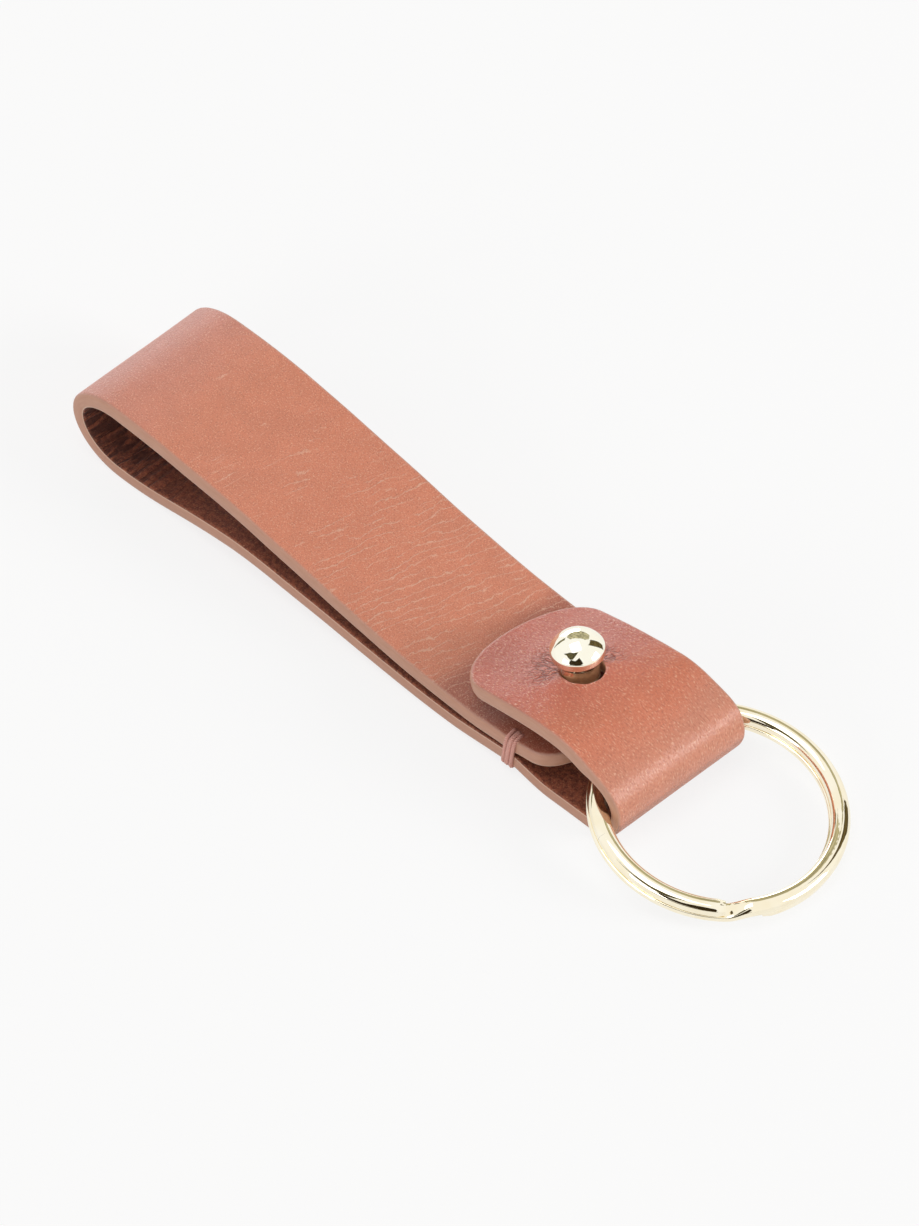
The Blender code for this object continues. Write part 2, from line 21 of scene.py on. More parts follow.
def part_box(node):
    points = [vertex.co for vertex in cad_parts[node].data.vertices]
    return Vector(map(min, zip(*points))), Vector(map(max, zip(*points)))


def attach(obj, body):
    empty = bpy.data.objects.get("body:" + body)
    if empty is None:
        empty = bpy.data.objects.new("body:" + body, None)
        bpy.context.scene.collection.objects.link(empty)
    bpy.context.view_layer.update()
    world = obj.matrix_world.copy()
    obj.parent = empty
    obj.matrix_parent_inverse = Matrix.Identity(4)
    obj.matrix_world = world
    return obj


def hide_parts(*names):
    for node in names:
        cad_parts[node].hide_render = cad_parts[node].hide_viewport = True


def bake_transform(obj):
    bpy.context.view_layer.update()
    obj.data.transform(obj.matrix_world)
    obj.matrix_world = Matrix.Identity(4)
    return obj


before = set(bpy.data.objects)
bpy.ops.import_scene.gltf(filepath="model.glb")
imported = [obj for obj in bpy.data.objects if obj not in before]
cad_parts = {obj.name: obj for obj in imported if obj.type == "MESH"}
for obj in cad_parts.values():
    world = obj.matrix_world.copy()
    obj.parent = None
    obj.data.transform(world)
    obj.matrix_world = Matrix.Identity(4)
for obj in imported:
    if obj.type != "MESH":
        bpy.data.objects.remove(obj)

MM = 0.001
LOG = logging.getLogger("key_fob")
FRAME_WIDTH = 919

Array = np.ndarray
Pair = tuple[float, float]


class Ply(Enum):
    """The finishes that one band of leather shows, in the order of its material slots."""

    FACE = 0
    EDGE = 1
    LINING = 2


# Colours and nodes


def linear(colour: str) -> tuple[float, float, float, float]:
    """Turn an sRGB hex colour such as "cb8369" into Blender's linear colour.

    Each channel c goes to c / 12.92 below 0.04045, and above it to ((c + 0.055) / 1.055) to the
    power 2.4.

    Args:
        colour: six hex digits.

    Returns:
        Red, green, blue and an alpha of one.
    """
    channels = [int(colour[k : k + 2], 16) / 255 for k in (0, 2, 4)]
    red, green, blue = (
        c / 12.92 if c <= 0.04045 else ((c + 0.055) / 1.055) ** 2.4 for c in channels
    )
    return red, green, blue, 1.0


def add(
    tree: NodeTree,
    kind: str,
    inputs: dict[str | int, object] | tuple[object, ...] = (),
    **settings: object,
) -> Node:
    """Add one node with its settings, its input values and its links.

    Args:
        tree: the node tree that the node goes into.
        kind: the node's type, without "ShaderNode".
        inputs: for each named or numbered input, or for the first ones in order, a value, an
            output socket, or a node whose first output in use is linked.
        settings: properties of the node.

    Returns:
        The new node.
    """
    made = tree.nodes.new("ShaderNode" + kind)
    for name, value in settings.items():
        setattr(made, name, value)
    for name, value in inputs.items() if isinstance(inputs, dict) else enumerate(inputs):
        if isinstance(value, Node):
            value = next(socket for socket in value.outputs if socket.enabled)
        if isinstance(value, NodeSocket):
            tree.links.new(value, made.inputs[name])
        else:
            made.inputs[name].default_value = value
    return made


def new_material(name: str) -> tuple[Material, NodeTree]:
    """Start a material whose tree holds only its output.

    Args:
        name: the material's name.

    Returns:
        The material and its empty node tree.
    """
    material = bpy.data.materials.new(name)
    material.use_nodes = True
    tree = material.node_tree
    tree.nodes.clear()
    return material, tree


def close_material(material: Material, shader: Node) -> Material:
    """Link a shader to a material's new output node, and give the material back."""
    add(material.node_tree, "OutputMaterial", {"Surface": shader})
    return material


# Meshes


def make_object(
    name: str,
    points: Array,
    faces: list[list[int]],
    materials: list[Material],
    finishes: Array | None = None,
    attributes: dict[str, Array] | None = None,
    sharp_above: float | None = None,
) -> Object:
    """Make a smooth closed mesh from points in millimetres of the row frame.

    Args:
        name: the object's name.
        points: vertex places, n by 3.
        faces: vertex numbers of each face.
        materials: the material slots.
        finishes: the slot of each face, or none where the piece has one material.
        attributes: what each vertex carries, by name: vectors, n by 3, or numbers, n long.
        sharp_above: the angle between faces, in degrees, above which an edge stays sharp.

    Returns:
        The object, at the origin, with its faces turned outwards.
    """
    mesh = bpy.data.meshes.new(name)
    mesh.from_pydata((points * MM).tolist(), [], faces)
    for material in materials:
        mesh.materials.append(material)
    if finishes is not None:
        mesh.polygons.foreach_set("material_index", np.asarray(finishes, np.int32))
    for label, values in (attributes or {}).items():
        kind, part = ("FLOAT_VECTOR", "vector") if values.ndim == 2 else ("FLOAT", "value")
        layer = mesh.attributes.new(label, kind, "POINT")
        layer.data.foreach_set(part, values.astype(np.float32).ravel())
    shape = bmesh.new()
    shape.from_mesh(mesh)
    bmesh.ops.recalc_face_normals(shape, faces=shape.faces)
    shape.to_mesh(mesh)
    shape.free()
    mesh.shade_smooth()
    if sharp_above is not None:
        mesh.set_sharp_from_angle(angle=math.radians(sharp_above))
    mesh.update()
    obj = bpy.data.objects.new(name, mesh)
    bpy.context.scene.collection.objects.link(obj)
    return obj


def grid_faces(rows: int, columns: int, start: int, wrap: bool = False) -> Array:
    """Number the quads of a grid of points.

    Args:
        rows: how many rows of points.
        columns: how many points in a row.
        start: the number of the first point.
        wrap: whether the last column joins the first.

    Returns:
        Four point numbers for each quad.
    """
    numbers = start + np.arange(rows * columns).reshape(rows, columns)
    if wrap:
        numbers = np.concatenate([numbers, numbers[:, :1]], axis=1)
    quads = [numbers[:-1, :-1], numbers[:-1, 1:], numbers[1:, 1:], numbers[1:, :-1]]
    return np.stack(quads, axis=-1).reshape(-1, 4)


class Patchwork:
    """Grids of points that are joined wherever two of them share a place."""

    def __init__(self) -> None:
        """Start with no patch."""
        self.points: list[Array] = []
        self.faces: list[Array] = []
        self.slots: list[Array] = []
        self.caps: list[tuple[Array, int]] = []
        self.count = 0

    def patch(self, grid: Array, slot: int, keep: Array | None = None) -> None:
        """Add a grid of points.

        Args:
            grid: the points, rows by columns by 3.
            slot: the material slot of its faces.
            keep: which quads stay, rows less one by columns less one, or all of them.
        """
        rows, columns = grid.shape[:2]
        quads = grid_faces(rows, columns, self.count)
        if keep is not None:
            quads = quads[keep.ravel()]
        self.points.append(grid.reshape(-1, 3))
        self.faces.append(quads)
        self.slots.append(np.full(len(quads), slot))
        self.count += rows * columns

    def cap(self, loop: Array, slot: int) -> None:
        """Close a flat loop of points with one face.

        Args:
            loop: the points in order, n by 3.
            slot: the material slot of the face.
        """
        self.points.append(loop)
        self.caps.append((np.arange(self.count, self.count + len(loop)), slot))
        self.count += len(loop)

    def joined(self) -> tuple[Array, list[list[int]], Array]:
        """Join points that share a place, and drop corners that fall together.

        Returns:
            The points, the faces and the slot of each face.
        """
        points = np.concatenate(self.points)
        keys = np.round(points, 6)
        _, first, number = np.unique(keys, axis=0, return_index=True, return_inverse=True)
        number = number.ravel()
        quads = number[np.concatenate(self.faces)]
        slots = np.concatenate(self.slots)
        same = (quads == np.roll(quads, -1, axis=1)).any(axis=1)
        faces, kept = quads[~same].tolist(), slots[~same].tolist()
        caps = [(number[loop], slot) for loop, slot in self.caps]
        for face, slot in [*zip(quads[same], slots[same]), *caps]:
            corners = list(dict.fromkeys(face.tolist()))
            if len(corners) > 2:
                faces.append(corners)
                kept.append(slot)
        used = np.unique(np.concatenate(faces))
        renumber = np.full(len(first), -1)
        renumber[used] = np.arange(len(used))
        faces = [[int(renumber[k]) for k in face] for face in faces]
        return points[first][used], faces, np.array(kept)


def circle(count: int) -> Array:
    """Points of a unit circle, count by 2."""
    turn = np.linspace(0.0, 2 * math.pi, count, endpoint=False)
    return np.stack([np.cos(turn), np.sin(turn)], axis=1)


def resampled(line: Array, step: float) -> tuple[Array, Array]:
    """Place points at equal steps along a line.

    Args:
        line: the line's own points, n by 2 or 3.
        step: the distance between the new points.

    Returns:
        The distance along the line and the place of each new point.
    """
    far = np.concatenate([[0.0], np.cumsum(np.linalg.norm(np.diff(line, axis=0), axis=1))])
    along = np.arange(0.0, far[-1], step)
    return along, np.stack([np.interp(along, far, column) for column in line.T], axis=1)


def averaged(line: Array, reach: int, spread: float) -> Array:
    """Average each point of a line with its neighbours, weighted by a bell curve.

    Args:
        line: the points, n by 2 or 3, with as many spare ones at each end as the reach.
        reach: how many neighbours count on each side.
        spread: the bell curve's width, in points.

    Returns:
        The averaged points, without the spare ones.
    """
    weights = np.exp(-0.5 * (np.arange(-reach, reach + 1) / spread) ** 2)
    weights /= weights.sum()
    return np.stack([np.convolve(column, weights, "valid") for column in line.T], axis=1)


def unit(vectors: Array) -> Array:
    """The same vectors, n by 2 or 3, each one long."""
    return vectors / np.linalg.norm(vectors, axis=1)[:, None]


def frames(path: Array, across: Array) -> tuple[Array, Array]:
    """Unit vectors square to a path.

    Args:
        path: the path's points, n by 3.
        across: a vector across the path at each of them.

    Returns:
        The vector across the path, made square to it, and the one square to both.
    """
    way = unit(np.gradient(path, axis=0))
    side = unit(across - (across * way).sum(axis=1)[:, None] * way)
    return side, np.cross(way, side)


def sweep(path: Array, across: Array, section: Array, scale: Array) -> Array:
    """Carry a closed section along a path.

    Point (i, j) is path i plus section j's first number times the unit vector across the path and
    its second number times the vector that is square to both.

    Args:
        path: the middle line, n by 3.
        across: a vector across the path at each of its points, n by 3.
        section: the outline, m by 2, or one outline for each point, n by m by 2.
        scale: the section's size at each point of the path.

    Returns:
        The surface's points, n by m by 3.
    """
    side, third = frames(path, across)
    reach = np.broadcast_to(section, (len(path), *section.shape[-2:])) * scale[:, None, None]
    return path[:, None] + reach[..., :1] * side[:, None] + reach[..., 1:] * third[:, None]


def closed_tube(grid: Array, start: int) -> tuple[Array, list[list[int]]]:
    """Faces of a swept surface with a flat face at each end.

    Args:
        grid: the surface's points, n by m by 3.
        start: the number of its first point.

    Returns:
        The points in one list and the faces.
    """
    rows, columns = grid.shape[:2]
    faces = grid_faces(rows, columns, start, wrap=True).tolist()
    faces.append(list(range(start, start + columns)))
    faces.append(list(range(start + (rows - 1) * columns, start + rows * columns)))
    return grid.reshape(-1, 3), faces


def smooth_step(value: Array | float, low: float, high: float) -> Array:
    """A smooth rise from 0 at low to 1 at high: t * t * (3 - 2 t)."""
    t = np.clip((np.asarray(value) - low) / (high - low), 0.0, 1.0)
    return t * t * (3 - 2 * t)


# Finishes


SOFT = {"interpolation_type": "SMOOTHSTEP"}
COLOURS = {"data_type": "RGBA"}


@dataclass(frozen=True)
class StrapSpace:
    """A leather's node tree and the strap coordinates in millimetres that its nodes read."""

    tree: NodeTree
    where: NodeSocket
    along: NodeSocket
    across: NodeSocket
    height: NodeSocket

    @classmethod
    def on(cls, tree: NodeTree) -> "StrapSpace":
        """Add the nodes that read the strap coordinates."""
        where = add(tree, "Attribute", attribute_name="strap_mm").outputs["Vector"]
        return cls(tree, where, *add(tree, "SeparateXYZ", (where,)).outputs)


@dataclass(frozen=True)
class CalfFace:
    """Smooth-grained calf, drum-dyed terracotta and glazed: even, with a low soft gloss.

    Glazing closes the grain, so its pores only show as a fine nap of dark points, with light points
    of painted glint among them. The band was creased across itself while it was made, and it is
    wrinkled where it is buttoned, with painted shade in the wrinkles. Painted shade darkens the
    tongue where the flap lies on it, and painted sheen and highlight pale the loop's bend and the
    fold.
    Marks are distances along the band, where something starts and where it ends.
    """

    hole: float
    flap_start: float
    colour: str = "d78262"
    bend_sheen_colour: str = "cd8474"
    fold_highlight_colour: str = "d0876c"
    flap_colour: str = "d37857"
    tip_colour: str = "c2624d"
    crease_colour: str = "eebd9f"
    glint_colour: str = "f3c8a8"
    pit_and_shade_colour: str = "9c5440"
    wrinkle_shade_colour: str = "7c301f"
    edge_colour: str = "c0917c"
    grain: float = 0.17
    pore: float = 0.42
    cloud: float = 3.0
    bend_rise: Pair = (64.0, 80.0)
    bend_fall: Pair = (98.0, 112.0)
    under_flap_shade: Pair = (18.0, 22.0)
    crease_rise: Pair = (15.0, 21.0)
    crease_thinning: Pair = (28.0, 66.0)
    crease_fall: Pair = (66.0, 80.0)
    crease_gap: float = 0.95
    crease_width: float = 0.085
    crease_slant: float = 16.0
    crease_draw: float = 0.45
    wrinkle_count: float = 11.0
    roughness: float = 0.57
    worn_roughness: float = 0.5

    def material(self) -> Material:
        """Make the material from the band's own coordinates in millimetres.

        Returns:
            The material.
        """
        made, tree = new_material("Terracotta glazed calf")
        strap = StrapSpace.on(tree)
        border = add(tree, "Attribute", attribute_name="border_mm").outputs["Fac"]
        creases, wrinkles = self.creases(strap), self.wrinkles(strap)
        # Round the fold the grain is drawn out into short lines along the band
        fold = self.flap_start
        drawn = add(tree, "MapRange", (strap.along, fold, fold + 6.0, 1.0, 0.45), **SOFT)
        scale = add(tree, "CombineXYZ", (drawn, 1.0, 1.0))
        grain = add(tree, "VectorMath", (strap.where, scale), operation="MULTIPLY")
        # Points of a sixth of a millimetre on pores of two fifths
        points = {"Vector": grain, "Scale": 1 / self.grain, "Detail": 2.0, "Roughness": 0.6}
        fine = add(tree, "TexNoise", points)
        cells = {"Vector": grain, "Scale": 1 / self.pore, "Smoothness": 0.5}
        pores = add(tree, "TexVoronoi", cells, feature="SMOOTH_F1")
        pits = add(tree, "MapRange", (fine, 0.3, 0.47, 0.5, 0.0), **SOFT)
        # Painted glints: light points on the grain that stand in for its highlights
        painted_glints = add(tree, "MapRange", (fine, 0.57, 0.68, 0.0, 0.55), **SOFT)
        pale = add(tree, "Math", (creases, 0.55), operation="MULTIPLY")
        # Painted shade in the hollows of the wrinkles round the buttonhole
        painted_shade = add(tree, "Math", (wrinkles, 0.8), operation="MULTIPLY")
        # The edge paint creeps over the rounded border
        rim = add(tree, "MapRange", (border, 0.1, 0.5, 0.9, 0.0), **SOFT)
        colour = self.dye_and_painted_light(strap)
        for share, over in (
            (pits, self.pit_and_shade_colour),
            (painted_glints, self.glint_colour),
            (pale, self.crease_colour),
            (painted_shade, self.wrinkle_shade_colour),
            (rim, self.edge_colour),
        ):
            colour = add(tree, "Mix", {0: share, 6: colour, 7: linear(over)}, **COLOURS)
        height = fine
        for relief, rise in ((pores, 0.6), (creases, 0.5), (wrinkles, -2.2)):
            height = add(tree, "Math", (relief, rise, height), operation="MULTIPLY_ADD")
        bump = add(tree, "Bump", {"Height": height, "Strength": 0.85, "Distance": 0.0001})
        # Handling has polished the fold
        polish = (strap.along, fold + 1.0, fold + 10.0, self.roughness, self.worn_roughness)
        worn = add(tree, "MapRange", polish, **SOFT)
        rough = add(tree, "Math", (fine, -0.3, worn), operation="MULTIPLY_ADD")
        surface = {
            "Base Color": colour,
            "Roughness": rough,
            "Normal": bump,
            "IOR": 1.5,
            "Specular IOR Level": 0.62,
            "Sheen Weight": 0.1,
            "Sheen Roughness": 0.4,
        }
        return close_material(made, add(tree, "BsdfPrincipled", surface))

    def dye_and_painted_light(self, strap: StrapSpace) -> Node:
        """The colour: terracotta, pinker over the loop's bend and paler on the fold, partly painted
        sheen and highlight, redder at the tip, with painted shade where the flap lies.

        Args:
            strap: the material's nodes and strap coordinates.

        Returns:
            The node that gives the colour.
        """
        tree = strap.tree
        # The borders between shades wander by four millimetres over sixteen
        drift = add(tree, "TexNoise", {"Vector": strap.where, "Scale": 1 / 16, "Detail": 2.0})
        wander = add(tree, "Math", (drift, 8.0, -4.0), operation="MULTIPLY_ADD")
        s = add(tree, "Math", (strap.along, wander), operation="ADD")
        # Over the loop's bend the pinker, paler colour is partly the leather's own tone and partly
        # painted sheen
        rise = add(tree, "MapRange", (s, *self.bend_rise, 0.0, 0.9), **SOFT)
        fall = add(tree, "MapRange", (s, *self.bend_fall, 1.0, 0.0), **SOFT)
        bend = add(tree, "Math", (rise, fall), operation="MULTIPLY")
        shades = {6: linear(self.colour), 7: linear(self.bend_sheen_colour)}
        dye_and_painted_light = add(tree, "Mix", {0: bend, **shades}, **COLOURS)
        fold = self.flap_start
        # On the fold the paler colour is partly the stretched leather's own tone and partly painted
        # highlight
        for start, end, colour in (
            (fold, fold + 5.0, self.fold_highlight_colour),
            (fold + 10.0, fold + 16.0, self.flap_colour),
            (self.hole - 9.0, self.hole + 3.0, self.tip_colour),
        ):
            share = add(tree, "MapRange", (s, start, end), **SOFT)
            dye_and_painted_light = add(tree, "Mix", {0: share, 6: dye_and_painted_light, 7: linear(colour)}, **COLOURS)
        # Painted shade: darker where the flap lies over the tongue
        painted_shade = add(tree, "MapRange", (strap.along, *self.under_flap_shade, 0.8, 0.0), **SOFT)
        dye_and_painted_light = add(tree, "Mix", {0: painted_shade, 6: dye_and_painted_light, 7: linear(self.pit_and_shade_colour)}, **COLOURS)
        # Faint clouds of three millimetres, as the drum leaves them
        cloud = {"Vector": strap.where, "Scale": 1 / self.cloud, "Detail": 4.0}
        cloudy = add(tree, "TexNoise", cloud)
        tone = add(tree, "MapRange", (cloudy, 0.3, 0.7, 0.95, 1.04))
        return add(tree, "VectorMath", {0: dye_and_painted_light, "Scale": tone}, operation="SCALE")

    def creases(self, strap: StrapSpace) -> Node:
        """Fine pale creases: wavy broken lines that run across the top leaf at a slant.

        The distance along the band, measured square to the creases and bent by noise, is divided
        by their gap. A crease lies where that number is near a half past a whole one.

        Args:
            strap: the material's nodes and strap coordinates.

        Returns:
            The node that gives one in a crease, else zero.
        """
        tree, along = strap.tree, strap.along
        # Squeezed across the band first, so that the noise is drawn out along the creases
        slant = math.atan(math.tan(math.radians(self.crease_slant)) / self.crease_draw)
        squeeze = {"Rotation": (0.0, 0.0, -slant), "Scale": (1.0, self.crease_draw, 1.0)}
        turned = add(tree, "Mapping", {"Vector": strap.where, **squeeze})
        waves = {"Vector": turned, "Scale": 1 / 3.2, "Detail": 5.0, "Roughness": 0.66}
        far = add(tree, "SeparateXYZ", (turned,))
        bent = (add(tree, "TexNoise", waves), 3.0, far)
        moved = add(tree, "Math", bent, operation="MULTIPLY_ADD")
        count = add(tree, "Math", (moved, 1 / self.crease_gap), operation="MULTIPLY")
        part = add(tree, "Math", (count,), operation="FRACT")
        off = add(tree, "Math", (part, 0.5), operation="SUBTRACT")
        away = add(tree, "Math", (off,), operation="ABSOLUTE")
        half = self.crease_width / self.crease_gap / 2
        middle = (away, half * 0.4, half * 1.8, 1.0, 0.0)
        line = add(tree, "MapRange", middle, **SOFT)
        patches = {"Vector": turned, "Scale": 1 / 1.9, "Detail": 3.0, "W": 4.0}
        patch = add(tree, "TexNoise", patches, noise_dimensions="4D")
        # Most are by the buttonhole's end of the leaf, and none where the loop turns under
        amount = add(tree, "MapRange", (along, *self.crease_thinning, 0.62, 0.4), **SOFT)
        both = add(tree, "Math", (patch, amount), operation="ADD")
        gate = add(tree, "MapRange", (both, 0.98, 1.12), **SOFT)
        upper = add(tree, "MapRange", (along, *self.crease_fall, 1.0, 0.0), **SOFT)
        lower = add(tree, "MapRange", (along, *self.crease_rise, 0.25, 1.0), **SOFT)
        ends = add(tree, "Math", (upper, lower), operation="MULTIPLY")
        shown = add(tree, "Math", (gate, ends), operation="MULTIPLY")
        return add(tree, "Math", (line, shown), operation="MULTIPLY")

    def wrinkles(self, strap: StrapSpace) -> Node:
        """Short tight wrinkles that run out from the buttonhole to the flap's tip and far side.

        They are the borders between cells laid out by the angle round the hole, bent by noise.

        Args:
            strap: the material's nodes and strap coordinates.

        Returns:
            The node that gives one in a wrinkle, else zero.
        """
        tree, across = strap.tree, strap.across
        ahead = add(tree, "Math", (strap.along, self.hole), operation="SUBTRACT")
        flat = add(tree, "CombineXYZ", (ahead, across, 0.0))
        away = add(tree, "VectorMath", (flat,), operation="LENGTH")
        turn = add(tree, "Math", (across, ahead), operation="ARCTAN2")
        wobble = add(tree, "TexNoise", {"Vector": strap.where, "Scale": 1 / 0.9, "Detail": 1.5})
        spread = add(tree, "Math", (turn, self.wrinkle_count), operation="MULTIPLY")
        bent = add(tree, "Math", (wobble, 2.0, spread), operation="MULTIPLY_ADD")
        length = add(tree, "Math", (away, 0.7), operation="MULTIPLY")
        fan = add(tree, "CombineXYZ", (bent, length, 0.0))
        grid = {"Vector": fan, "Scale": 1.0}
        cells = add(tree, "TexVoronoi", grid, feature="DISTANCE_TO_EDGE")
        line = add(tree, "MapRange", (cells, 0.02, 0.13, 1.0, 0.0), **SOFT)
        # One fan points at the tip and the near side, a shorter one at the far side
        shown: Node | float = 0.0
        for low, high, rise, reach, weight in (
            (-1.4, 0.6, 0.4, 7.6, 1.0),
            (0.9, 2.2, 0.3, 6.2, 0.9),
        ):
            wedge: Node | float = 1.0
            for fade in (
                (turn, low, low + rise, 0.0, weight),
                (turn, high - rise, high, 1.0, 0.0),
                (away, 3.8, reach, 1.0, 0.0),
            ):
                side = add(tree, "MapRange", fade, **SOFT)
                wedge = add(tree, "Math", (wedge, side), operation="MULTIPLY")
            shown = add(tree, "Math", (shown, wedge), operation="ADD")
        fold = self.flap_start
        there = add(tree, "MapRange", (strap.along, fold, fold + 6.0), **SOFT)
        shown = add(tree, "Math", (shown, there), operation="MULTIPLY")
        return add(tree, "Math", (line, shown), operation="MULTIPLY")


@dataclass(frozen=True)
class EdgePaint:
    """Acrylic edge paint over cut leather, rubbed smooth: opaque, satin, paler than the face.

    Two plies show through it as soft streaks, and a thin bright line at the lining is painted
    highlight.
    """

    colour: str = "cc9c83"
    dark_colour: str = "b8836b"
    highlight_line_colour: str = "ecd2bb"
    grit: float = 0.2
    highlight_line_height: Pair = (-0.92, -0.62)
    roughness: float = 0.42

    def material(self) -> Material:
        """Make the material, with streaks three millimetres long and half a millimetre apart.

        Returns:
            The material.
        """
        made, tree = new_material("Acrylic edge paint")
        strap = StrapSpace.on(tree)
        streaks = add(tree, "Mapping", {"Vector": strap.where, "Scale": (0.35, 1.0, 2.2)})
        drift = add(tree, "TexNoise", {"Vector": streaks, "Scale": 1.4, "Detail": 4.0})
        grains = {"Vector": strap.where, "Scale": 1 / self.grit, "Detail": 2.0}
        grit = add(tree, "TexNoise", grains)
        shades = {6: linear(self.dark_colour), 7: linear(self.colour)}
        base = add(tree, "Mix", {0: drift, **shades}, **COLOURS)
        # Painted highlight: a thin bright line along the lower rounding, where the lining begins
        line = add(tree, "MapRange", (strap.height, *self.highlight_line_height, 0.75, 0.0), **SOFT)
        highlighted = add(tree, "Mix", {0: line, 6: base, 7: linear(self.highlight_line_colour)}, **COLOURS)
        height = add(tree, "Math", (grit, 0.25, drift), operation="MULTIPLY_ADD")
        surface = {
            "Base Color": highlighted,
            "Roughness": self.roughness,
            "Normal": add(tree, "Bump", {"Height": height, "Strength": 0.3, "Distance": 0.0001}),
            "Specular IOR Level": 0.45,
        }
        return close_material(made, add(tree, "BsdfPrincipled", surface))


@dataclass(frozen=True)
class LiningSuede:
    """Split calf lining, left with its short nap: darker than the face and dull.

    Its nap catches light in fibres of a fifth of a millimetre, and the loop's bend puckers it, with
    painted shade in the puckers.
    """

    colour: str = "a35a3e"
    dark_colour: str = "6e3222"
    fibre_colour: str = "c58a66"
    pucker_shade_colour: str = "3c1710"
    nap: float = 0.55
    fibre: float = 0.2
    pucker: float = 0.9
    bend_rise: Pair = (68.0, 76.0)
    bend_fall: Pair = (92.0, 106.0)
    roughness: float = 0.62

    def material(self) -> Material:
        """Make the material, with short fibres and soft cross puckers darkened by painted shade.

        Returns:
            The material.
        """
        made, tree = new_material("Split calf lining")
        strap = StrapSpace.on(tree)
        where, along = strap.where, strap.along
        short = {"Vector": where, "Scale": 1 / self.nap, "Detail": 5.0, "Roughness": 0.7}
        nap = add(tree, "TexNoise", short)
        fibre = add(tree, "TexNoise", {"Vector": where, "Scale": 1 / self.fibre, "Detail": 2.0})
        drawn = (1 / self.pucker, 1 / (6 * self.pucker), 1.0)
        across = add(tree, "Mapping", {"Vector": where, "Scale": drawn})
        waves = {"Vector": across, "Scale": 1.0, "Detail": 2.0, "Distortion": 0.6}
        folds = add(tree, "TexNoise", waves)
        rise = add(tree, "MapRange", (along, *self.bend_rise), **SOFT)
        fall = add(tree, "MapRange", (along, *self.bend_fall, 1.0, 0.0), **SOFT)
        bend = add(tree, "Math", (rise, fall), operation="MULTIPLY")
        ridge = add(tree, "MapRange", (folds, 0.42, 0.6, 1.0, 0.0), **SOFT)
        puckers = add(tree, "Math", (ridge, bend), operation="MULTIPLY")
        light = add(tree, "MapRange", (nap, 0.35, 0.65), **SOFT)
        ends = add(tree, "MapRange", (fibre, 0.54, 0.7, 0.0, 0.6), **SOFT)
        # Painted shade in the puckers
        pucker_shade = add(tree, "Math", (puckers, 0.75), operation="MULTIPLY")
        colour = linear(self.dark_colour)
        for share, over in (
            (light, self.colour),
            (ends, self.fibre_colour),
            (pucker_shade, self.pucker_shade_colour),
        ):
            colour = add(tree, "Mix", {0: share, 6: colour, 7: linear(over)}, **COLOURS)
        height = add(tree, "Math", (puckers, -1.6, nap), operation="MULTIPLY_ADD")
        surface = {
            "Base Color": colour,
            "Roughness": self.roughness,
            "Normal": add(tree, "Bump", {"Height": height, "Strength": 0.7, "Distance": 0.0002}),
            "Specular IOR Level": 0.4,
            "Sheen Weight": 0.1,
        }
        return close_material(made, add(tree, "BsdfPrincipled", surface))


@dataclass(frozen=True)
class WaxedThread:
    """Twisted polyester sewing thread, dyed rose and waxed: soft sheen along each strand."""

    colour: str = "f2bcad"
    dark_colour: str = "c07a69"
    fibre: float = 0.12
    roughness: float = 0.55

    def material(self) -> Material:
        """Make the material with fibres of an eighth of a millimetre, coarser than real to show.

        Returns:
            The material.
        """
        made, tree = new_material("Waxed polyester thread")
        where = add(tree, "TexCoord").outputs["Object"]
        short = {"Vector": where, "Scale": 1 / (self.fibre * MM), "Detail": 2.0}
        fibre = add(tree, "TexNoise", short)
        shades = {6: linear(self.dark_colour), 7: linear(self.colour)}
        surface = {
            "Base Color": add(tree, "Mix", {0: fibre, **shades}, **COLOURS),
            "Roughness": self.roughness,
            "Normal": add(tree, "Bump", {"Height": fibre, "Strength": 0.3, "Distance": 0.00003}),
            "Sheen Weight": 0.3,
        }
        return close_material(made, add(tree, "BsdfPrincipled", surface))


@dataclass(frozen=True)
class PaleGold:
    """Pale gold plate on polished metal: a mirror with faint polishing waves and hairlines."""

    name: str = "Pale gold plate"
    colour: str = "fffaea"
    warm_colour: str = "f6e8c4"
    wave: float = 2.4
    hair: float = 0.2
    roughness: float = 0.035

    def material(self) -> Material:
        """Make the material: polishing waves of two millimetres and hairlines of a fifth of one.

        Returns:
            The material.
        """
        made, tree = new_material(self.name)
        where = add(tree, "TexCoord").outputs["Object"]
        waves, hair = (
            add(tree, "TexNoise", {"Vector": where, "Scale": 1 / (size * MM), "Detail": detail})
            for size, detail in ((self.wave, 2.0), (self.hair, 3.0))
        )
        shades = {6: linear(self.warm_colour), 7: linear(self.colour)}
        smooth = self.roughness
        rough = (hair, 0.3, 0.8, smooth, smooth + 0.04)
        surface = {
            "Base Color": add(tree, "Mix", {0: waves, **shades}, **COLOURS),
            "Metallic": 1.0,
            "Roughness": add(tree, "MapRange", rough),
            "Normal": add(tree, "Bump", {"Height": waves, "Strength": 0.15, "Distance": 0.0002}),
        }
        return close_material(made, add(tree, "BsdfPrincipled", surface))


# The leather band


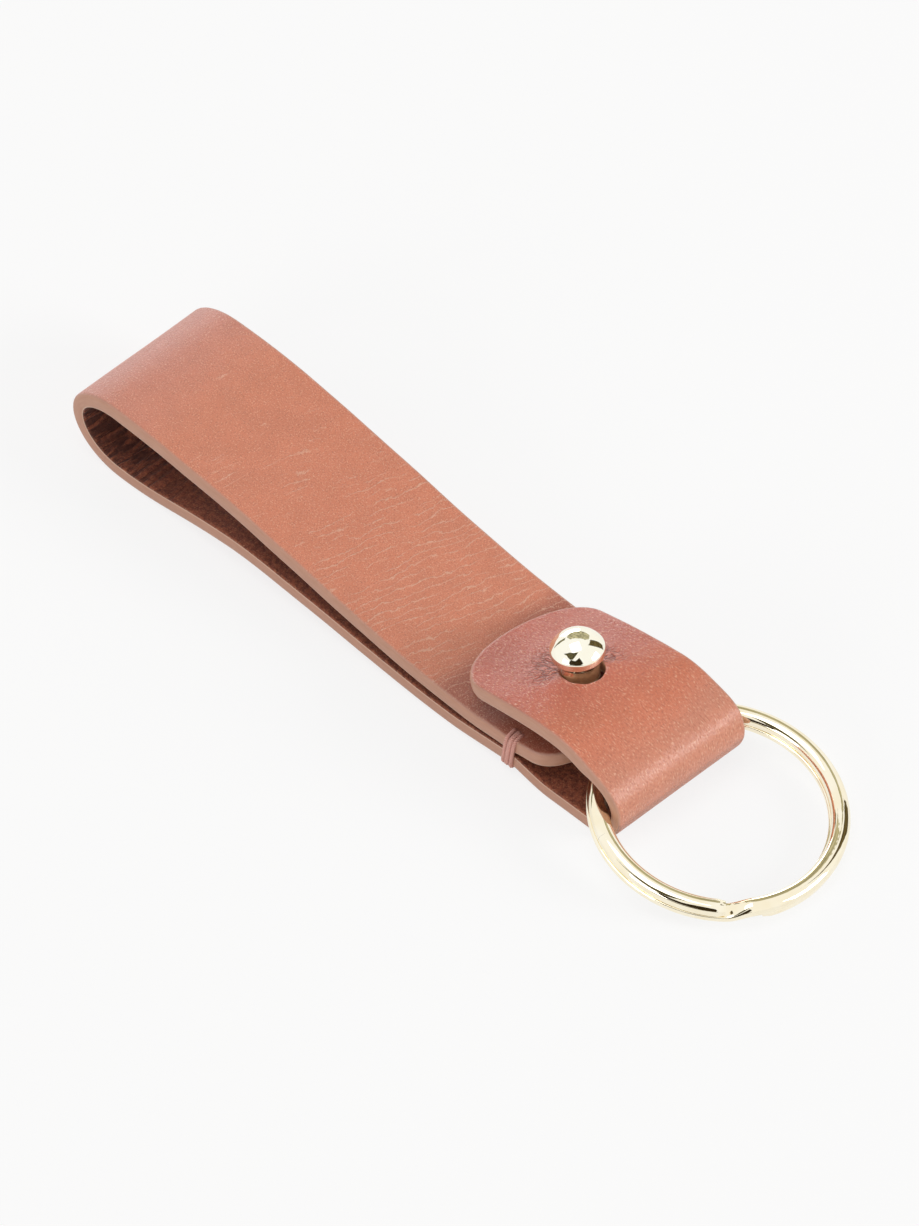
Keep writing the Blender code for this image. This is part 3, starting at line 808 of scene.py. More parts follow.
@dataclass(frozen=True)
class Route:
    """The middle of the leather in the side view, by distance from the tongue's tip."""

    along: Array
    points: Array
    normals: Array

    def at(self, s: Array) -> tuple[Array, Array]:
        """Place and face-side normal at distances from the tongue's tip.

        Args:
            s: the distances, of any shape.

        Returns:
            The places and the normals, each with X and Z in a last axis of two.
        """
        place = [np.interp(s, self.along, self.points[:, k]) for k in (0, 1)]
        out = [np.interp(s, self.along, self.normals[:, k]) for k in (0, 1)]
        return np.stack(place, axis=-1), np.stack(out, axis=-1)

    def find(self, x: float, low: float, high: float) -> float:
        """Find where the route passes a place along X.

        Args:
            x: the place along X.
            low: the shortest distance from the tongue's tip that is looked at.
            high: the longest.

        Returns:
            The distance from the tongue's tip.
        """
        part = (self.along >= low) & (self.along <= high)
        order = np.argsort(self.points[part, 0])
        return float(np.interp(x, self.points[part, 0][order], self.along[part][order]))


def heading(angle: float) -> Array:
    """A unit vector at an angle in degrees from the first axis of its plane."""
    return np.array([math.cos(math.radians(angle)), math.sin(math.radians(angle))])


def run(start: Array, out: float, end: Array, into: float, pulls: Pair | None = None) -> Array:
    """Points of a cubic curve between two places with given headings.

    Args:
        start: where it starts.
        out: the heading at its start, in degrees.
        end: where it ends.
        into: the heading at its end, in degrees.
        pulls: how far its two handles reach, or none for a third of the way along X each.

    Returns:
        The points, 161 by 2.
    """
    first, last = pulls or [abs(end[0] - start[0]) / 3] * 2
    a, b = start + heading(out) * first, end - heading(into) * last
    t = np.linspace(0.0, 1.0, 161)[:, None]
    s = 1 - t
    return s**3 * start + 3 * s**2 * t * a + 3 * s * t**2 * b + t**3 * end


@dataclass
class LeatherBand:
    """The band: its route, its outline, its rounded edges and the two pieces that it is made of.

    Strap coordinates are the distance along the route, the distance across it and the height
    through the leather, which is +1 on the face and -1 on the lining. The route's marks say how
    far back from the fold's end they are and how high; a rounded end has a depth and a power.
    """

    half_width: float = 10.0
    half_leather: float = 1.0
    length: float = 90.5
    stud: Pair = (16.056, 4.85)
    stud_lean: float = 7.0
    tongue_reach: float = 6.0
    flat_reach: float = 3.4
    meet: Pair = (25.056, 3.95)
    crest: Pair = (82.7, 11.0)
    side_height: float = 6.5
    arch: Pair = (62.2, 3.1)
    dip: Pair = (28.056, 1.15)
    tack: Pair = (18.256, 1.85)
    flat_back: float = 12.056
    fold_radius: float = 3.85
    fold_height: float = 4.85
    fold_leave: float = 70.0
    peak: Pair = (9.9, 10.151)
    flap_tip: Pair = (27.856, 7.051)
    tongue_end: Pair = (5.4, 2.5)
    flap_end: Pair = (5.5, 2.2)
    hole_radius: float = 2.6
    hole_rounding: float = 0.35
    hole_margin: float = 1.4
    groove_depth: float = 0.66
    groove_along: tuple[float, float, float, float] = (3.0, 5.5, 11.5, 14.5)
    groove_across: Pair = (7.6, 9.0)
    edge_profile: tuple[Pair, ...] = (
        (0.55, 1.0), (0.38, 0.985), (0.23, 0.93), (0.12, 0.83), (0.045, 0.69), (0.01, 0.5),
        (0.0, 0.25), (0.0, 0.0), (0.0, -0.25), (0.01, -0.5), (0.04, -0.7), (0.1, -0.85),
        (0.19, -0.95), (0.32, -1.0),
    )
    face_rows: int = 3
    lining_rows: int = 2
    easing: float = 2.0
    middle: float = field(init=False)
    fold_end: float = field(init=False)
    route: Route = field(init=False)
    seam: float = field(init=False)
    hole: float = field(init=False)

    def __post_init__(self) -> None:
        """Take the strap's place from its solids and work out the route."""
        low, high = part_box("strap_face")
        self.fold_end = high[0] / MM
        self.middle = (low[1] + high[1]) / 2 / MM
        self.route, self.seam = self.make_route()
        past_fold, tip = self.seam + 12.0, self.route.along[-1]
        self.hole = self.route.find(self.fold_end - self.stud[0], past_fold, tip)

    def station(self, mark: Pair) -> Array:
        """A place in the side view, so far back from the end of the fold and so high."""
        return np.array([self.fold_end - mark[0], mark[1]])

    def make_route(self) -> tuple[Route, float]:
        """Join the runs from the tongue's tip round the loop and the fold to the flap's tip.

        The joined line is sampled every 0.05 mm and averaged over half a millimetre, which takes
        the small steps of curvature out of its joints.

        Returns:
            The route, and the distance along it to the start of the fold.
        """
        back, leather = 180.0 + self.stud_lean, self.half_leather
        stud, meet, crest, side, low, arch, dip, tack, flat, fold, centre, peak, end = (
            self.station(mark)
            for mark in (
                self.stud,
                self.meet,
                self.crest,
                (self.length - leather, self.side_height),
                (self.crest[0], leather),
                self.arch,
                self.dip,
                self.tack,
                (self.flat_back, leather),
                (self.fold_height, leather),
                (self.fold_height, self.fold_height),
                self.peak,
                self.flap_tip,
            )
        )
        tip = stud - heading(back) * self.tongue_reach
        flat_end = stud + heading(back) * self.flat_reach
        angles = np.linspace(-90.0, self.fold_leave, 161)
        turn = centre + self.fold_radius * np.stack([heading(a) for a in angles])
        # The loop's bend is two quarters of an ellipse: handles of 0.5523 draw a round quarter
        quarter = 0.5523
        upper, lower = np.abs(side - crest) * quarter, np.abs(low - side) * quarter
        ground = [low, arch, dip, tack, flat]
        runs = [
            run(tip, back, flat_end, back, (2.0, 2.0)),
            run(flat_end, back, meet, 180.0),
            run(meet, 180.0, crest, 180.0),
            run(crest, 180.0, side, 270.0, (upper[0], upper[1])),
            run(side, 270.0, low, 0.0, (lower[1], lower[0])),
            *(run(a, 0.0, b, 0.0) for a, b in zip(ground, ground[1:])),
            run(flat, 0.0, fold, 0.0, (2.0, 2.0)),
        ]
        flap = [
            turn,
            run(turn[-1], self.fold_leave + 90.0, peak, 180.0),
            run(peak, 180.0, end, back),
        ]
        before = np.concatenate([runs[0], *(part[1:] for part in runs[1:])])
        seam = float(np.linalg.norm(np.diff(before, axis=0), axis=1).sum())
        along, points = resampled(np.concatenate([before, *(part[1:] for part in flap)]), 0.05)
        reach = 24
        head = points[0] - (points[1] - points[0]) * np.arange(reach, 0, -1)[:, None]
        tail = points[-1] + (points[-1] - points[-2]) * np.arange(1, reach + 1)[:, None]
        points = averaged(np.concatenate([head, points, tail]), reach, 10.0)
        way = unit(np.gradient(points, axis=0))
        return Route(along, points, np.stack([way[:, 1], -way[:, 0]], axis=1)), seam

    def twist(self, s: Array) -> tuple[Array, Array, Array]:
        """How the band leans across itself and lifts, as it lay in the photograph.

        Args:
            s: distances along the route.

        Returns:
            At the strap's edge, half the height and half the reach along X between its sides, and
            its middle's shift along X and up, in millimetres.
        """
        # What each number is at places along the strap, and then at places along the flap
        marks = [0.0, 15.0, 51.0, 62.0, 73.0, 81.0, 92.0]
        lean = [-0.2, -0.25, -0.25, -0.5, -0.3, 0.0, 0.0]
        lift = [0.1, 0.25, 0.25, 0.0, -0.12, 0.0, 0.0]
        fold = [0.0, 3.0, 6.0, 8.6, 10.8, 14.2, 18.6, 21.8, 25.0, 31.5, 36.0]
        fold_lean = [0.0, 0.0, -0.25, -0.5, -0.3, -0.02, 0.55, 0.78, 0.88, 1.1, 1.2]
        fold_reach = [0.0, 0.25, 0.46, 0.28, 0.05, 0.0, 0.0, 0.0, 0.0, 0.1, 0.3]
        fold_pull = [0.0, -0.25, -0.26, 0.0, 0.0, 0.0, 0.0, 0.0, 0.0, -0.1, -0.3]
        fold_lift = [0.0, 0.0, 0.0, 0.0, 0.0, 0.0, 0.0, 0.05, 0.1, 0.15, 0.2]
        on_fold = s - self.seam
        height = np.interp(s, marks, lean) + np.interp(on_fold, fold, fold_lean) * (on_fold > 0)
        pulled = np.interp(on_fold, fold, fold_pull)
        raised = np.interp(s, marks, lift) + np.interp(on_fold, fold, fold_lift) * (on_fold > 0)
        return height, np.interp(on_fold, fold, fold_reach), np.stack([pulled, raised])

    def relief(self, s: Array, y: Array) -> Array:
        """How far the leather stands off its route.

        Slow waves under a twentieth of a millimetre high run along it, the tacks pinch its sides,
        and round the buttonhole it is puckered and raised.

        Args:
            s: distances along the route.
            y: distances across the strap.

        Returns:
            The height in millimetres, towards the face.
        """
        # The waves die away at the seam, where the two pieces meet
        free = smooth_step(np.abs(s - self.seam), 2.0, 8.0)
        waves = 0.045 * np.sin(s / 4.1 + 0.6 * np.sin(y / 5.0)) * np.sin(y / 6.0 + s / 17.0)
        waves += 0.03 * np.sin(s / 1.9 + y / 3.1 + 1.0) * np.sin(s / 23.0)
        place, _ = self.route.at(s)
        near_tack = np.exp(-(((place[..., 0] - (self.fold_end - self.tack[0])) / 1.5) ** 2))
        pinch = near_tack * smooth_step(np.abs(y), 6.5, self.half_width) * (s < self.seam)
        # The upper leaf gives more than the lower one
        out = waves * free - pinch * np.where(s < 60.0, 0.22, 0.12)
        off = np.maximum(np.hypot(s - self.hole, y) - self.hole_radius, 0)
        turn = np.arctan2(y, s - self.hole)
        pucker = 0.03 * np.cos(9 * turn + 0.7) * np.exp(-off / 1.3)
        rim = 0.1 * np.exp(-off / 0.8) + 0.4 * np.exp(-((off / 3.2) ** 2))
        return out + (pucker + rim) * (s > self.seam)

    def groove(self, s: Array, y: Array) -> Array:
        """How far the ring's wire has pressed the lining in, at the fold's near end.

        Args:
            s: distances along the route.
            y: distances across the strap.

        Returns:
            The share that the lining's half of the leather has lost.
        """
        on_fold = s - self.seam
        in_at, deep_from, deep_to, out_at = self.groove_along
        along = smooth_step(on_fold, in_at, deep_from)
        along *= 1 - smooth_step(on_fold, deep_to, out_at)
        return self.groove_depth * along * smooth_step(-y, *self.groove_across)

    def place(self, strap: Array) -> Array:
        """Carry strap coordinates into the row frame.

        A point goes along the route, out along the route's normal by its height and the relief,
        and then leans across the strap as the flap does.

        Args:
            strap: distance along, distance across and height, in a last axis of three.

        Returns:
            X, Y and Z in millimetres.
        """
        s, y, n = np.moveaxis(strap, -1, 0)
        n = np.where(n < 0, n * (1 - self.groove(s, y)), n)
        middle, out = self.route.at(s)
        height = n + self.relief(s, y)
        lean, reach, shift = self.twist(s)
        share = y / self.half_width
        x = middle[..., 0] + out[..., 0] * height + share * reach + shift[0]
        z = np.maximum(middle[..., 1] + out[..., 1] * height - share * lean + shift[1], 0.01)
        return np.stack([x, y + self.middle, z], axis=-1)

    def border(self, strap: Array) -> Array:
        """Distance in from the band's outline, in millimetres.

        Near a rounded end the outline is where r is one, r being the p-th root of the sum of the
        outline's two powers. The distance there is 1 - r over how fast r grows.

        Args:
            strap: strap coordinates in a last axis of three.

        Returns:
            The distances.
        """
        s, y, _ = np.moveaxis(strap, -1, 0)
        total = self.route.along[-1]
        inside = self.half_width - np.abs(y)
        for start, (depth, power) in ((s, self.tongue_end), (total - s, self.flap_end)):
            q = np.clip((depth - start) / depth, 1e-6, 1.0)
            w = np.clip(np.abs(y) / self.half_width, 1e-6, 1.0)
            r = (q**power + w**power) ** (1 / power)
            slope = np.hypot(q ** (power - 1) / depth, w ** (power - 1) / self.half_width)
            slope *= r ** (1 - power)
            inside = np.where(start < depth, np.minimum(inside, (1 - r) / slope), inside)
        return np.clip(inside, 0.0, None)

    def end_outline(self, end: Pair, columns: int) -> tuple[Array, Array]:
        """A rounded end: depth d and power p give ((d - s) / d)^p + (|y| / half width)^p = 1.

        Args:
            end: the end's depth and power.
            columns: how many points it has.

        Returns:
            Its points as distance from the tip and distance across, and its outward normals.
        """
        depth, power = end
        across = np.sin(np.linspace(-math.pi / 2, math.pi / 2, columns))
        rest = (1 - np.abs(across) ** power) ** (1 / power)
        back = -(rest ** (power - 1)) / depth
        out = np.sign(across) * np.abs(across) ** (power - 1) / self.half_width
        points = np.stack([depth * (1 - rest), across * self.half_width], axis=1)
        return points, unit(np.stack([back, out], axis=1))

    def sheet(
        self, end: Pair, far: float, step: float, columns: int, inset: float
    ) -> tuple[Array, Array, Array]:
        """A grid of distances from the tip and across, from a rounded end to a straight cut.

        The first row follows the end's outline, moved in by the inset, and the next rows ease
        from it to straight rows.

        Args:
            end: the end's depth and power.
            far: the distance from the tip to the cut.
            step: the distance between straight rows.
            columns: how many points in a row.
            inset: how far the grid's border is from the outline.

        Returns:
            The grid, rows by columns by 2, and the outline's points and outward normals along its
            border: down one side, round the tip and back along the other side.
        """
        tip, normal = self.end_outline(end, columns)
        first = tip - normal * inset
        straight = end[0] + self.easing
        eased = np.linspace(0.0, 1.0, math.ceil(straight / step) + 1)
        s_eased = first[None, :, 0] + (straight - first[None, :, 0]) * eased[:, None]
        rest = np.linspace(straight, far, math.ceil((far - straight) / step) + 1)[1:]
        s_rest = np.repeat(rest[:, None], columns, axis=1)
        s = np.concatenate([s_eased, s_rest])
        grid = np.stack([s, np.repeat(first[None, :, 1], len(s), axis=0)], axis=-1)
        sides = s[1:, 0]
        low = np.stack([sides[::-1], np.full(len(sides), -self.half_width)], axis=1)
        high = np.stack([sides, np.full(len(sides), self.half_width)], axis=1)
        outline = np.concatenate([low, tip, high])
        out = np.zeros_like(outline)
        out[: len(low), 1] = -1.0
        out[len(low) : len(low) + columns] = normal
        out[len(low) + columns :, 1] = 1.0
        return grid, outline, out

    def make_piece(
        self,
        name: str,
        end: Pair,
        from_tip: bool,
        step: float,
        columns: int,
        materials: list[Material],
    ) -> Object:
        """Make one piece of the band: from the tongue's tip, or the flap's, to the seam.

        Args:
            name: the piece's name.
            end: the depth and power of its rounded end.
            from_tip: True for the tongue's end of the band, False for the flap's.
            step: the distance between its rows.
            columns: how many points it has across.
            materials: face, edge and lining.

        Returns:
            The piece.
        """
        far = self.seam if from_tip else float(self.route.along[-1]) - self.seam
        work = Patchwork()
        rows, loops, block = {}, {}, None
        for height, inset, ply in (
            (1.0, self.edge_profile[0][0], Ply.FACE),
            (-1.0, self.edge_profile[-1][0], Ply.LINING),
        ):
            grid, outline, out = self.sheet(end, far, step, columns, inset)
            strap = self.strap_points(grid, height, from_tip)
            keep = None
            if not from_tip:
                block = block or self.hole_block(strap)
                keep, loops[ply] = self.leave_out(strap, block)
            work.patch(strap, ply.value, keep)
            rows[ply] = strap[-1]
        skirts = np.stack(
            [
                self.strap_points(outline - out * inset, height, from_tip)
                for inset, height in self.edge_profile
            ]
        )
        top, bottom = self.face_rows, len(self.edge_profile) - 1 - self.lining_rows
        work.patch(skirts[: top + 1], Ply.FACE.value)
        work.patch(skirts[top : bottom + 1], Ply.EDGE.value)
        work.patch(skirts[bottom:], Ply.LINING.value)
        back = rows[Ply.LINING][::-1]
        ring = [rows[Ply.FACE], skirts[1:, -1], back[1:], skirts[::-1, 0][1:]]
        work.cap(np.concatenate(ring), Ply.LINING.value)
        if not from_tip:
            self.line_hole(work, loops)
        points, faces, slots = work.joined()
        attributes = {"strap_mm": points, "border_mm": self.border(points)}
        return make_object(name, self.place(points), faces, materials, slots, attributes)

    def strap_points(self, flat: Array, height: float, from_tip: bool) -> Array:
        """Turn distances from a tip into strap coordinates at one height through the leather."""
        s = flat[..., 0] if from_tip else float(self.route.along[-1]) - flat[..., 0]
        return np.stack([s, flat[..., 1], np.full(s.shape, height)], axis=-1)

    def hole_block(self, strap: Array) -> tuple[int, int, int, int]:
        """Find the rows and columns of a sheet that lie round the buttonhole.

        Args:
            strap: the sheet's strap coordinates.

        Returns:
            The first and last row and the first and last column.
        """
        reach = self.hole_radius + self.hole_margin
        rows = np.where(np.abs(strap[:, strap.shape[1] // 2, 0] - self.hole) < reach)[0]
        columns = np.where(np.abs(strap[0, :, 1]) < reach)[0]
        return int(rows[0]), int(rows[-1]), int(columns[0]), int(columns[-1])

    def leave_out(self, strap: Array, block: tuple[int, int, int, int]) -> tuple[Array, Array]:
        """Leave a block of quads out of a sheet.

        Args:
            strap: the sheet's strap coordinates.
            block: its first and last row and its first and last column.

        Returns:
            Which quads stay, and the block's border as a loop of points.
        """
        r0, r1, c0, c1 = block
        keep = np.ones((strap.shape[0] - 1, strap.shape[1] - 1), bool)
        keep[r0:r1, c0:c1] = False
        sides = [strap[r0, c0:c1], strap[r0:r1, c1], strap[r1, c1:c0:-1], strap[r1:r0:-1, c0]]
        return keep, np.concatenate(sides)

    def hole_ring(self, turn: Array, radius: float, height: float) -> Array:
        """A circle round the buttonhole's middle, in strap coordinates."""
        s, y = self.hole + radius * np.cos(turn), radius * np.sin(turn)
        return np.stack([s, y, np.full(len(turn), height)], axis=1)

    def line_hole(self, work: Patchwork, loops: dict[Ply, Array]) -> None:
        """Fill from each block's border in to the round buttonhole and line the hole's wall.

        Rings go from the block's square border to the circle, and the circle's rim is rounded.

        Args:
            work: the patchwork that gets the rings.
            loops: the border of the block in the face and in the lining.
        """
        rounding, face = self.hole_rounding, loops[Ply.FACE]
        turn = np.arctan2(face[:, 1], face[:, 0] - self.hole)
        share = np.linspace(0.0, 1.0, 9)[:, None, None]
        share = share * (2 - share)
        for ply, height, spare in ((Ply.FACE, 1.0, rounding), (Ply.LINING, -1.0, 0.0)):
            rim = self.hole_ring(turn, self.hole_radius + spare, height)
            rows = loops[ply][None] * (1 - share) + rim[None] * share
            work.patch(np.concatenate([rows, rows[:, :1]], axis=1), ply.value)
        wall = []
        for step in np.radians(np.linspace(0.0, 90.0, 7)):
            radius = self.hole_radius + rounding * (1 - math.sin(step))
            wall.append(self.hole_ring(turn, radius, 1.0 - rounding * (1 - math.cos(step))))
        for height in (0.3, 0.0, -0.35, -0.7, -1.0):
            wall.append(self.hole_ring(turn, self.hole_radius, height))
        wall = np.stack(wall)
        wall = np.concatenate([wall, wall[:, :1]], axis=1)
        work.patch(wall[:5], Ply.FACE.value)
        work.patch(wall[4:], Ply.EDGE.value)


# Metal and thread


def revolve(profile: Array, steps: int) -> tuple[Array, list[list[int]]]:
    """Turn a profile about the Z axis: (r, z) goes to (r cos a, r sin a, z).

    Args:
        profile: radius and height from the top to the bottom, n by 2; its ends are on the axis.
        steps: how many points a circle has.

    Returns:
        The points and the faces, with the poles closed.
    """
    body = profile[1:-1]
    rings = body[:, None, :1] * circle(steps)[None]
    heights = np.repeat(body[:, None, 1:], steps, axis=1)
    points = np.concatenate([rings, heights], axis=-1).reshape(-1, 3)
    poles = np.array([[0.0, 0.0, profile[0, 1]], [0.0, 0.0, profile[-1, 1]]])
    faces = grid_faces(len(body), steps, 0, wrap=True).tolist()
    top, last = len(points), len(points) - steps
    for k in range(steps):
        ahead = (k + 1) % steps
        faces += [[top, k, ahead], [top + 1, last + ahead, last + k]]
    return np.concatenate([points, poles]), faces


def rounded(corners: list[tuple[float, float, float]], steps: int = 8) -> Array:
    """Round the corners of an open outline.

    Each corner is replaced by the quadratic curve between the points a given distance before and
    after it: (1-t)^2 a + 2 t (1-t) corner + t^2 b.

    Args:
        corners: first number, second number and how far from the corner the rounding starts.
        steps: how many pieces each rounding has.

    Returns:
        The outline, n by 2.
    """
    points = np.array([c[:2] for c in corners])
    out = [points[:1]]
    t = np.linspace(0.0, 1.0, steps + 1)[:, None]
    for before, corner, after, (_, _, reach) in zip(points, points[1:], points[2:], corners[1:]):
        a, b = (
            corner + way / np.linalg.norm(way) * min(reach, np.linalg.norm(way) / 2)
            for way in (before - corner, after - corner)
        )
        out.append((1 - t) ** 2 * a + 2 * t * (1 - t) * corner + t**2 * b)
    out.append(points[-1:])
    return np.concatenate(out)


@dataclass
class ButtonStud:
    """The turned button stud and its screw, measured along their own leaning axis."""

    band: LeatherBand
    metal: Material
    head_radius: float = 3.25
    head_top: float = 11.12
    rim_top: float = 9.15
    rim_bottom: float = 8.26
    neck_radius: float = 2.38
    neck_top: float = 7.2
    foot_top: float = 2.2
    foot_bottom: float = 1.3
    foot_radius: float = 3.25
    screw_radius: float = 3.0
    screw_top: float = -0.15
    screw_bottom: float = -0.85
    screw_rounding: float = 0.25
    slot_half: float = 0.35
    slot_depth: float = 0.4
    steps: int = 128

    def place(self, points: Array) -> Array:
        """Lean points about the Y axis and carry them to the stud's seat on the tongue.

        Args:
            points: points measured from the seat along the stud's axis.

        Returns:
            The points in the row frame.
        """
        seat_x, seat_z = self.band.station(self.band.stud)
        cosine, sine = heading(self.band.stud_lean)
        x = points[:, 0] * cosine - points[:, 2] * sine
        z = points[:, 0] * sine + points[:, 2] * cosine
        return np.stack([x + seat_x, points[:, 1] + self.band.middle, z + seat_z], axis=1)

    def post(self) -> Object:
        """Make the post: a domed head with a rounded rim, a hollow underside, a neck and a foot.

        Returns:
            The post.
        """
        rise = self.head_top - self.rim_top
        sphere = (self.head_radius**2 + rise**2) / (2 * rise)
        turn = np.linspace(0.0, math.asin(self.head_radius / sphere) * 0.96, 40)
        height = self.head_top - sphere * (1 - np.cos(turn))
        dome = np.stack([sphere * np.sin(turn), height], axis=1)
        low = rounded(
            [
                (dome[-1, 0], dome[-1, 1], 0.0),
                (self.head_radius, self.rim_top - 0.12, 0.2),
                (self.head_radius - 0.04, self.rim_bottom, 0.14),
                (self.neck_radius + 0.15, self.neck_top + 0.35, 0.3),
                (self.neck_radius, self.neck_top - 0.3, 0.3),
                (self.neck_radius, self.foot_top, 0.3),
                (self.foot_radius, self.foot_top, 0.25),
                (self.foot_radius, self.foot_bottom, 0.15),
                (0.0, self.foot_bottom, 0.0),
            ]
        )
        points, faces = revolve(np.concatenate([dome, low[1:]]), self.steps)
        return make_object("stud_turned", self.place(points), faces, [self.metal])

    def screw(self) -> Object:
        """Make the flat slotted screw head that shows in the lining beneath the tongue.

        The head is a disc of circles; the points inside the slot's width sink by its depth.

        Returns:
            The screw.
        """
        radii = np.linspace(self.screw_radius - self.screw_rounding, 0.0, 28)
        low = np.stack([radii, np.full(len(radii), self.screw_bottom)], axis=1)
        rim = [
            [0.0, self.screw_top],
            [self.screw_radius, self.screw_top],
            [self.screw_radius, self.screw_bottom + self.screw_rounding],
            [self.screw_radius - 0.07, self.screw_bottom + 0.08],
        ]
        points, faces = revolve(np.concatenate([rim, low]), self.steps)
        below = points[:, 2] < self.screw_bottom + 0.01
        sink = 1 - smooth_step(np.abs(points[:, 1]), self.slot_half - 0.04, self.slot_half + 0.04)
        points[:, 2] += below * sink * self.slot_depth
        return make_object("stud_screw_head", self.place(points), faces, [self.metal])


@dataclass
class ThreadTack:
    """One thread wound round both leaves beside the stud, of strands twisted together."""

    band: LeatherBand
    thread: Material
    side: int
    turns: int = 4
    pitch: float = 0.38
    strand_radius: float = 0.12
    cord_radius: float = 0.15
    twist_length: float = 0.8
    strands: int = 3
    inset: float = 1.6
    lean: float = 0.9
    loose: float = 0.12
    search: float = 40.0
    step: float = 0.07

    def path(self) -> Array:
        """The thread's middle line: a flat loop round both leaves that steps along the strap.

        Returns:
            The points, n by 3.
        """
        band, spare = self.band, 9
        x = band.fold_end - band.tack[0]
        upper = band.route.find(x, 0.0, self.search)
        lower = band.route.find(x, band.seam - self.search, band.seam)
        off = self.strand_radius * 1.3
        near, far = band.half_width - self.inset, band.half_width + off
        flat = np.array([(upper, near), (upper, far), (lower, far), (lower, near)])
        heights = np.full(len(flat), band.half_leather + off)
        bends = band.place(np.stack([flat[:, 0], self.side * flat[:, 1], heights], axis=1))
        share = np.linspace(0.0, 1.0, 18, endpoint=False)[:, None]
        sides = [a + (b - a) * share for a, b in zip(bends, np.roll(bends, -1, axis=0))]
        loop = np.concatenate(sides)
        line = averaged(
            np.concatenate([loop[-spare:], *[loop] * self.turns, loop[:spare]]), spare, 3.0
        )
        step = np.linspace(-0.5, 0.5, len(line)) * self.turns * self.pitch
        rise = (line[:, 2] - bends[:, 2].min()) / np.ptp(bends[:, 2])
        # A slow wave, so that the turns don't lie quite evenly
        loose = self.loose * np.sin(2.3 * np.arange(len(line)) / len(loop) + self.side)
        line[:, 0] += step + loose + self.lean * (rise - 0.25)
        return line

    def make(self, name: str) -> Object:
        """Make the tack: each strand turns about the thread's middle line once per twist length.

        Args:
            name: the tack's name.

        Returns:
            The tack.
        """
        along, line = resampled(self.path(), self.step)
        across = np.repeat([[1.0, 0.0, 0.0]], len(line), axis=0)
        side, third = frames(line, across)
        points, faces = [], []
        for strand in range(self.strands):
            turn = 2 * math.pi * (along / self.twist_length + strand / self.strands)[:, None]
            middle = line + self.cord_radius * (np.cos(turn) * side + np.sin(turn) * third)
            tube = sweep(middle, across, self.strand_radius * circle(8), np.ones(len(line)))
            some, more = closed_tube(tube, sum(map(len, points)))
            points.append(some)
            faces += more
        return make_object(name, np.concatenate(points), faces, [self.thread])


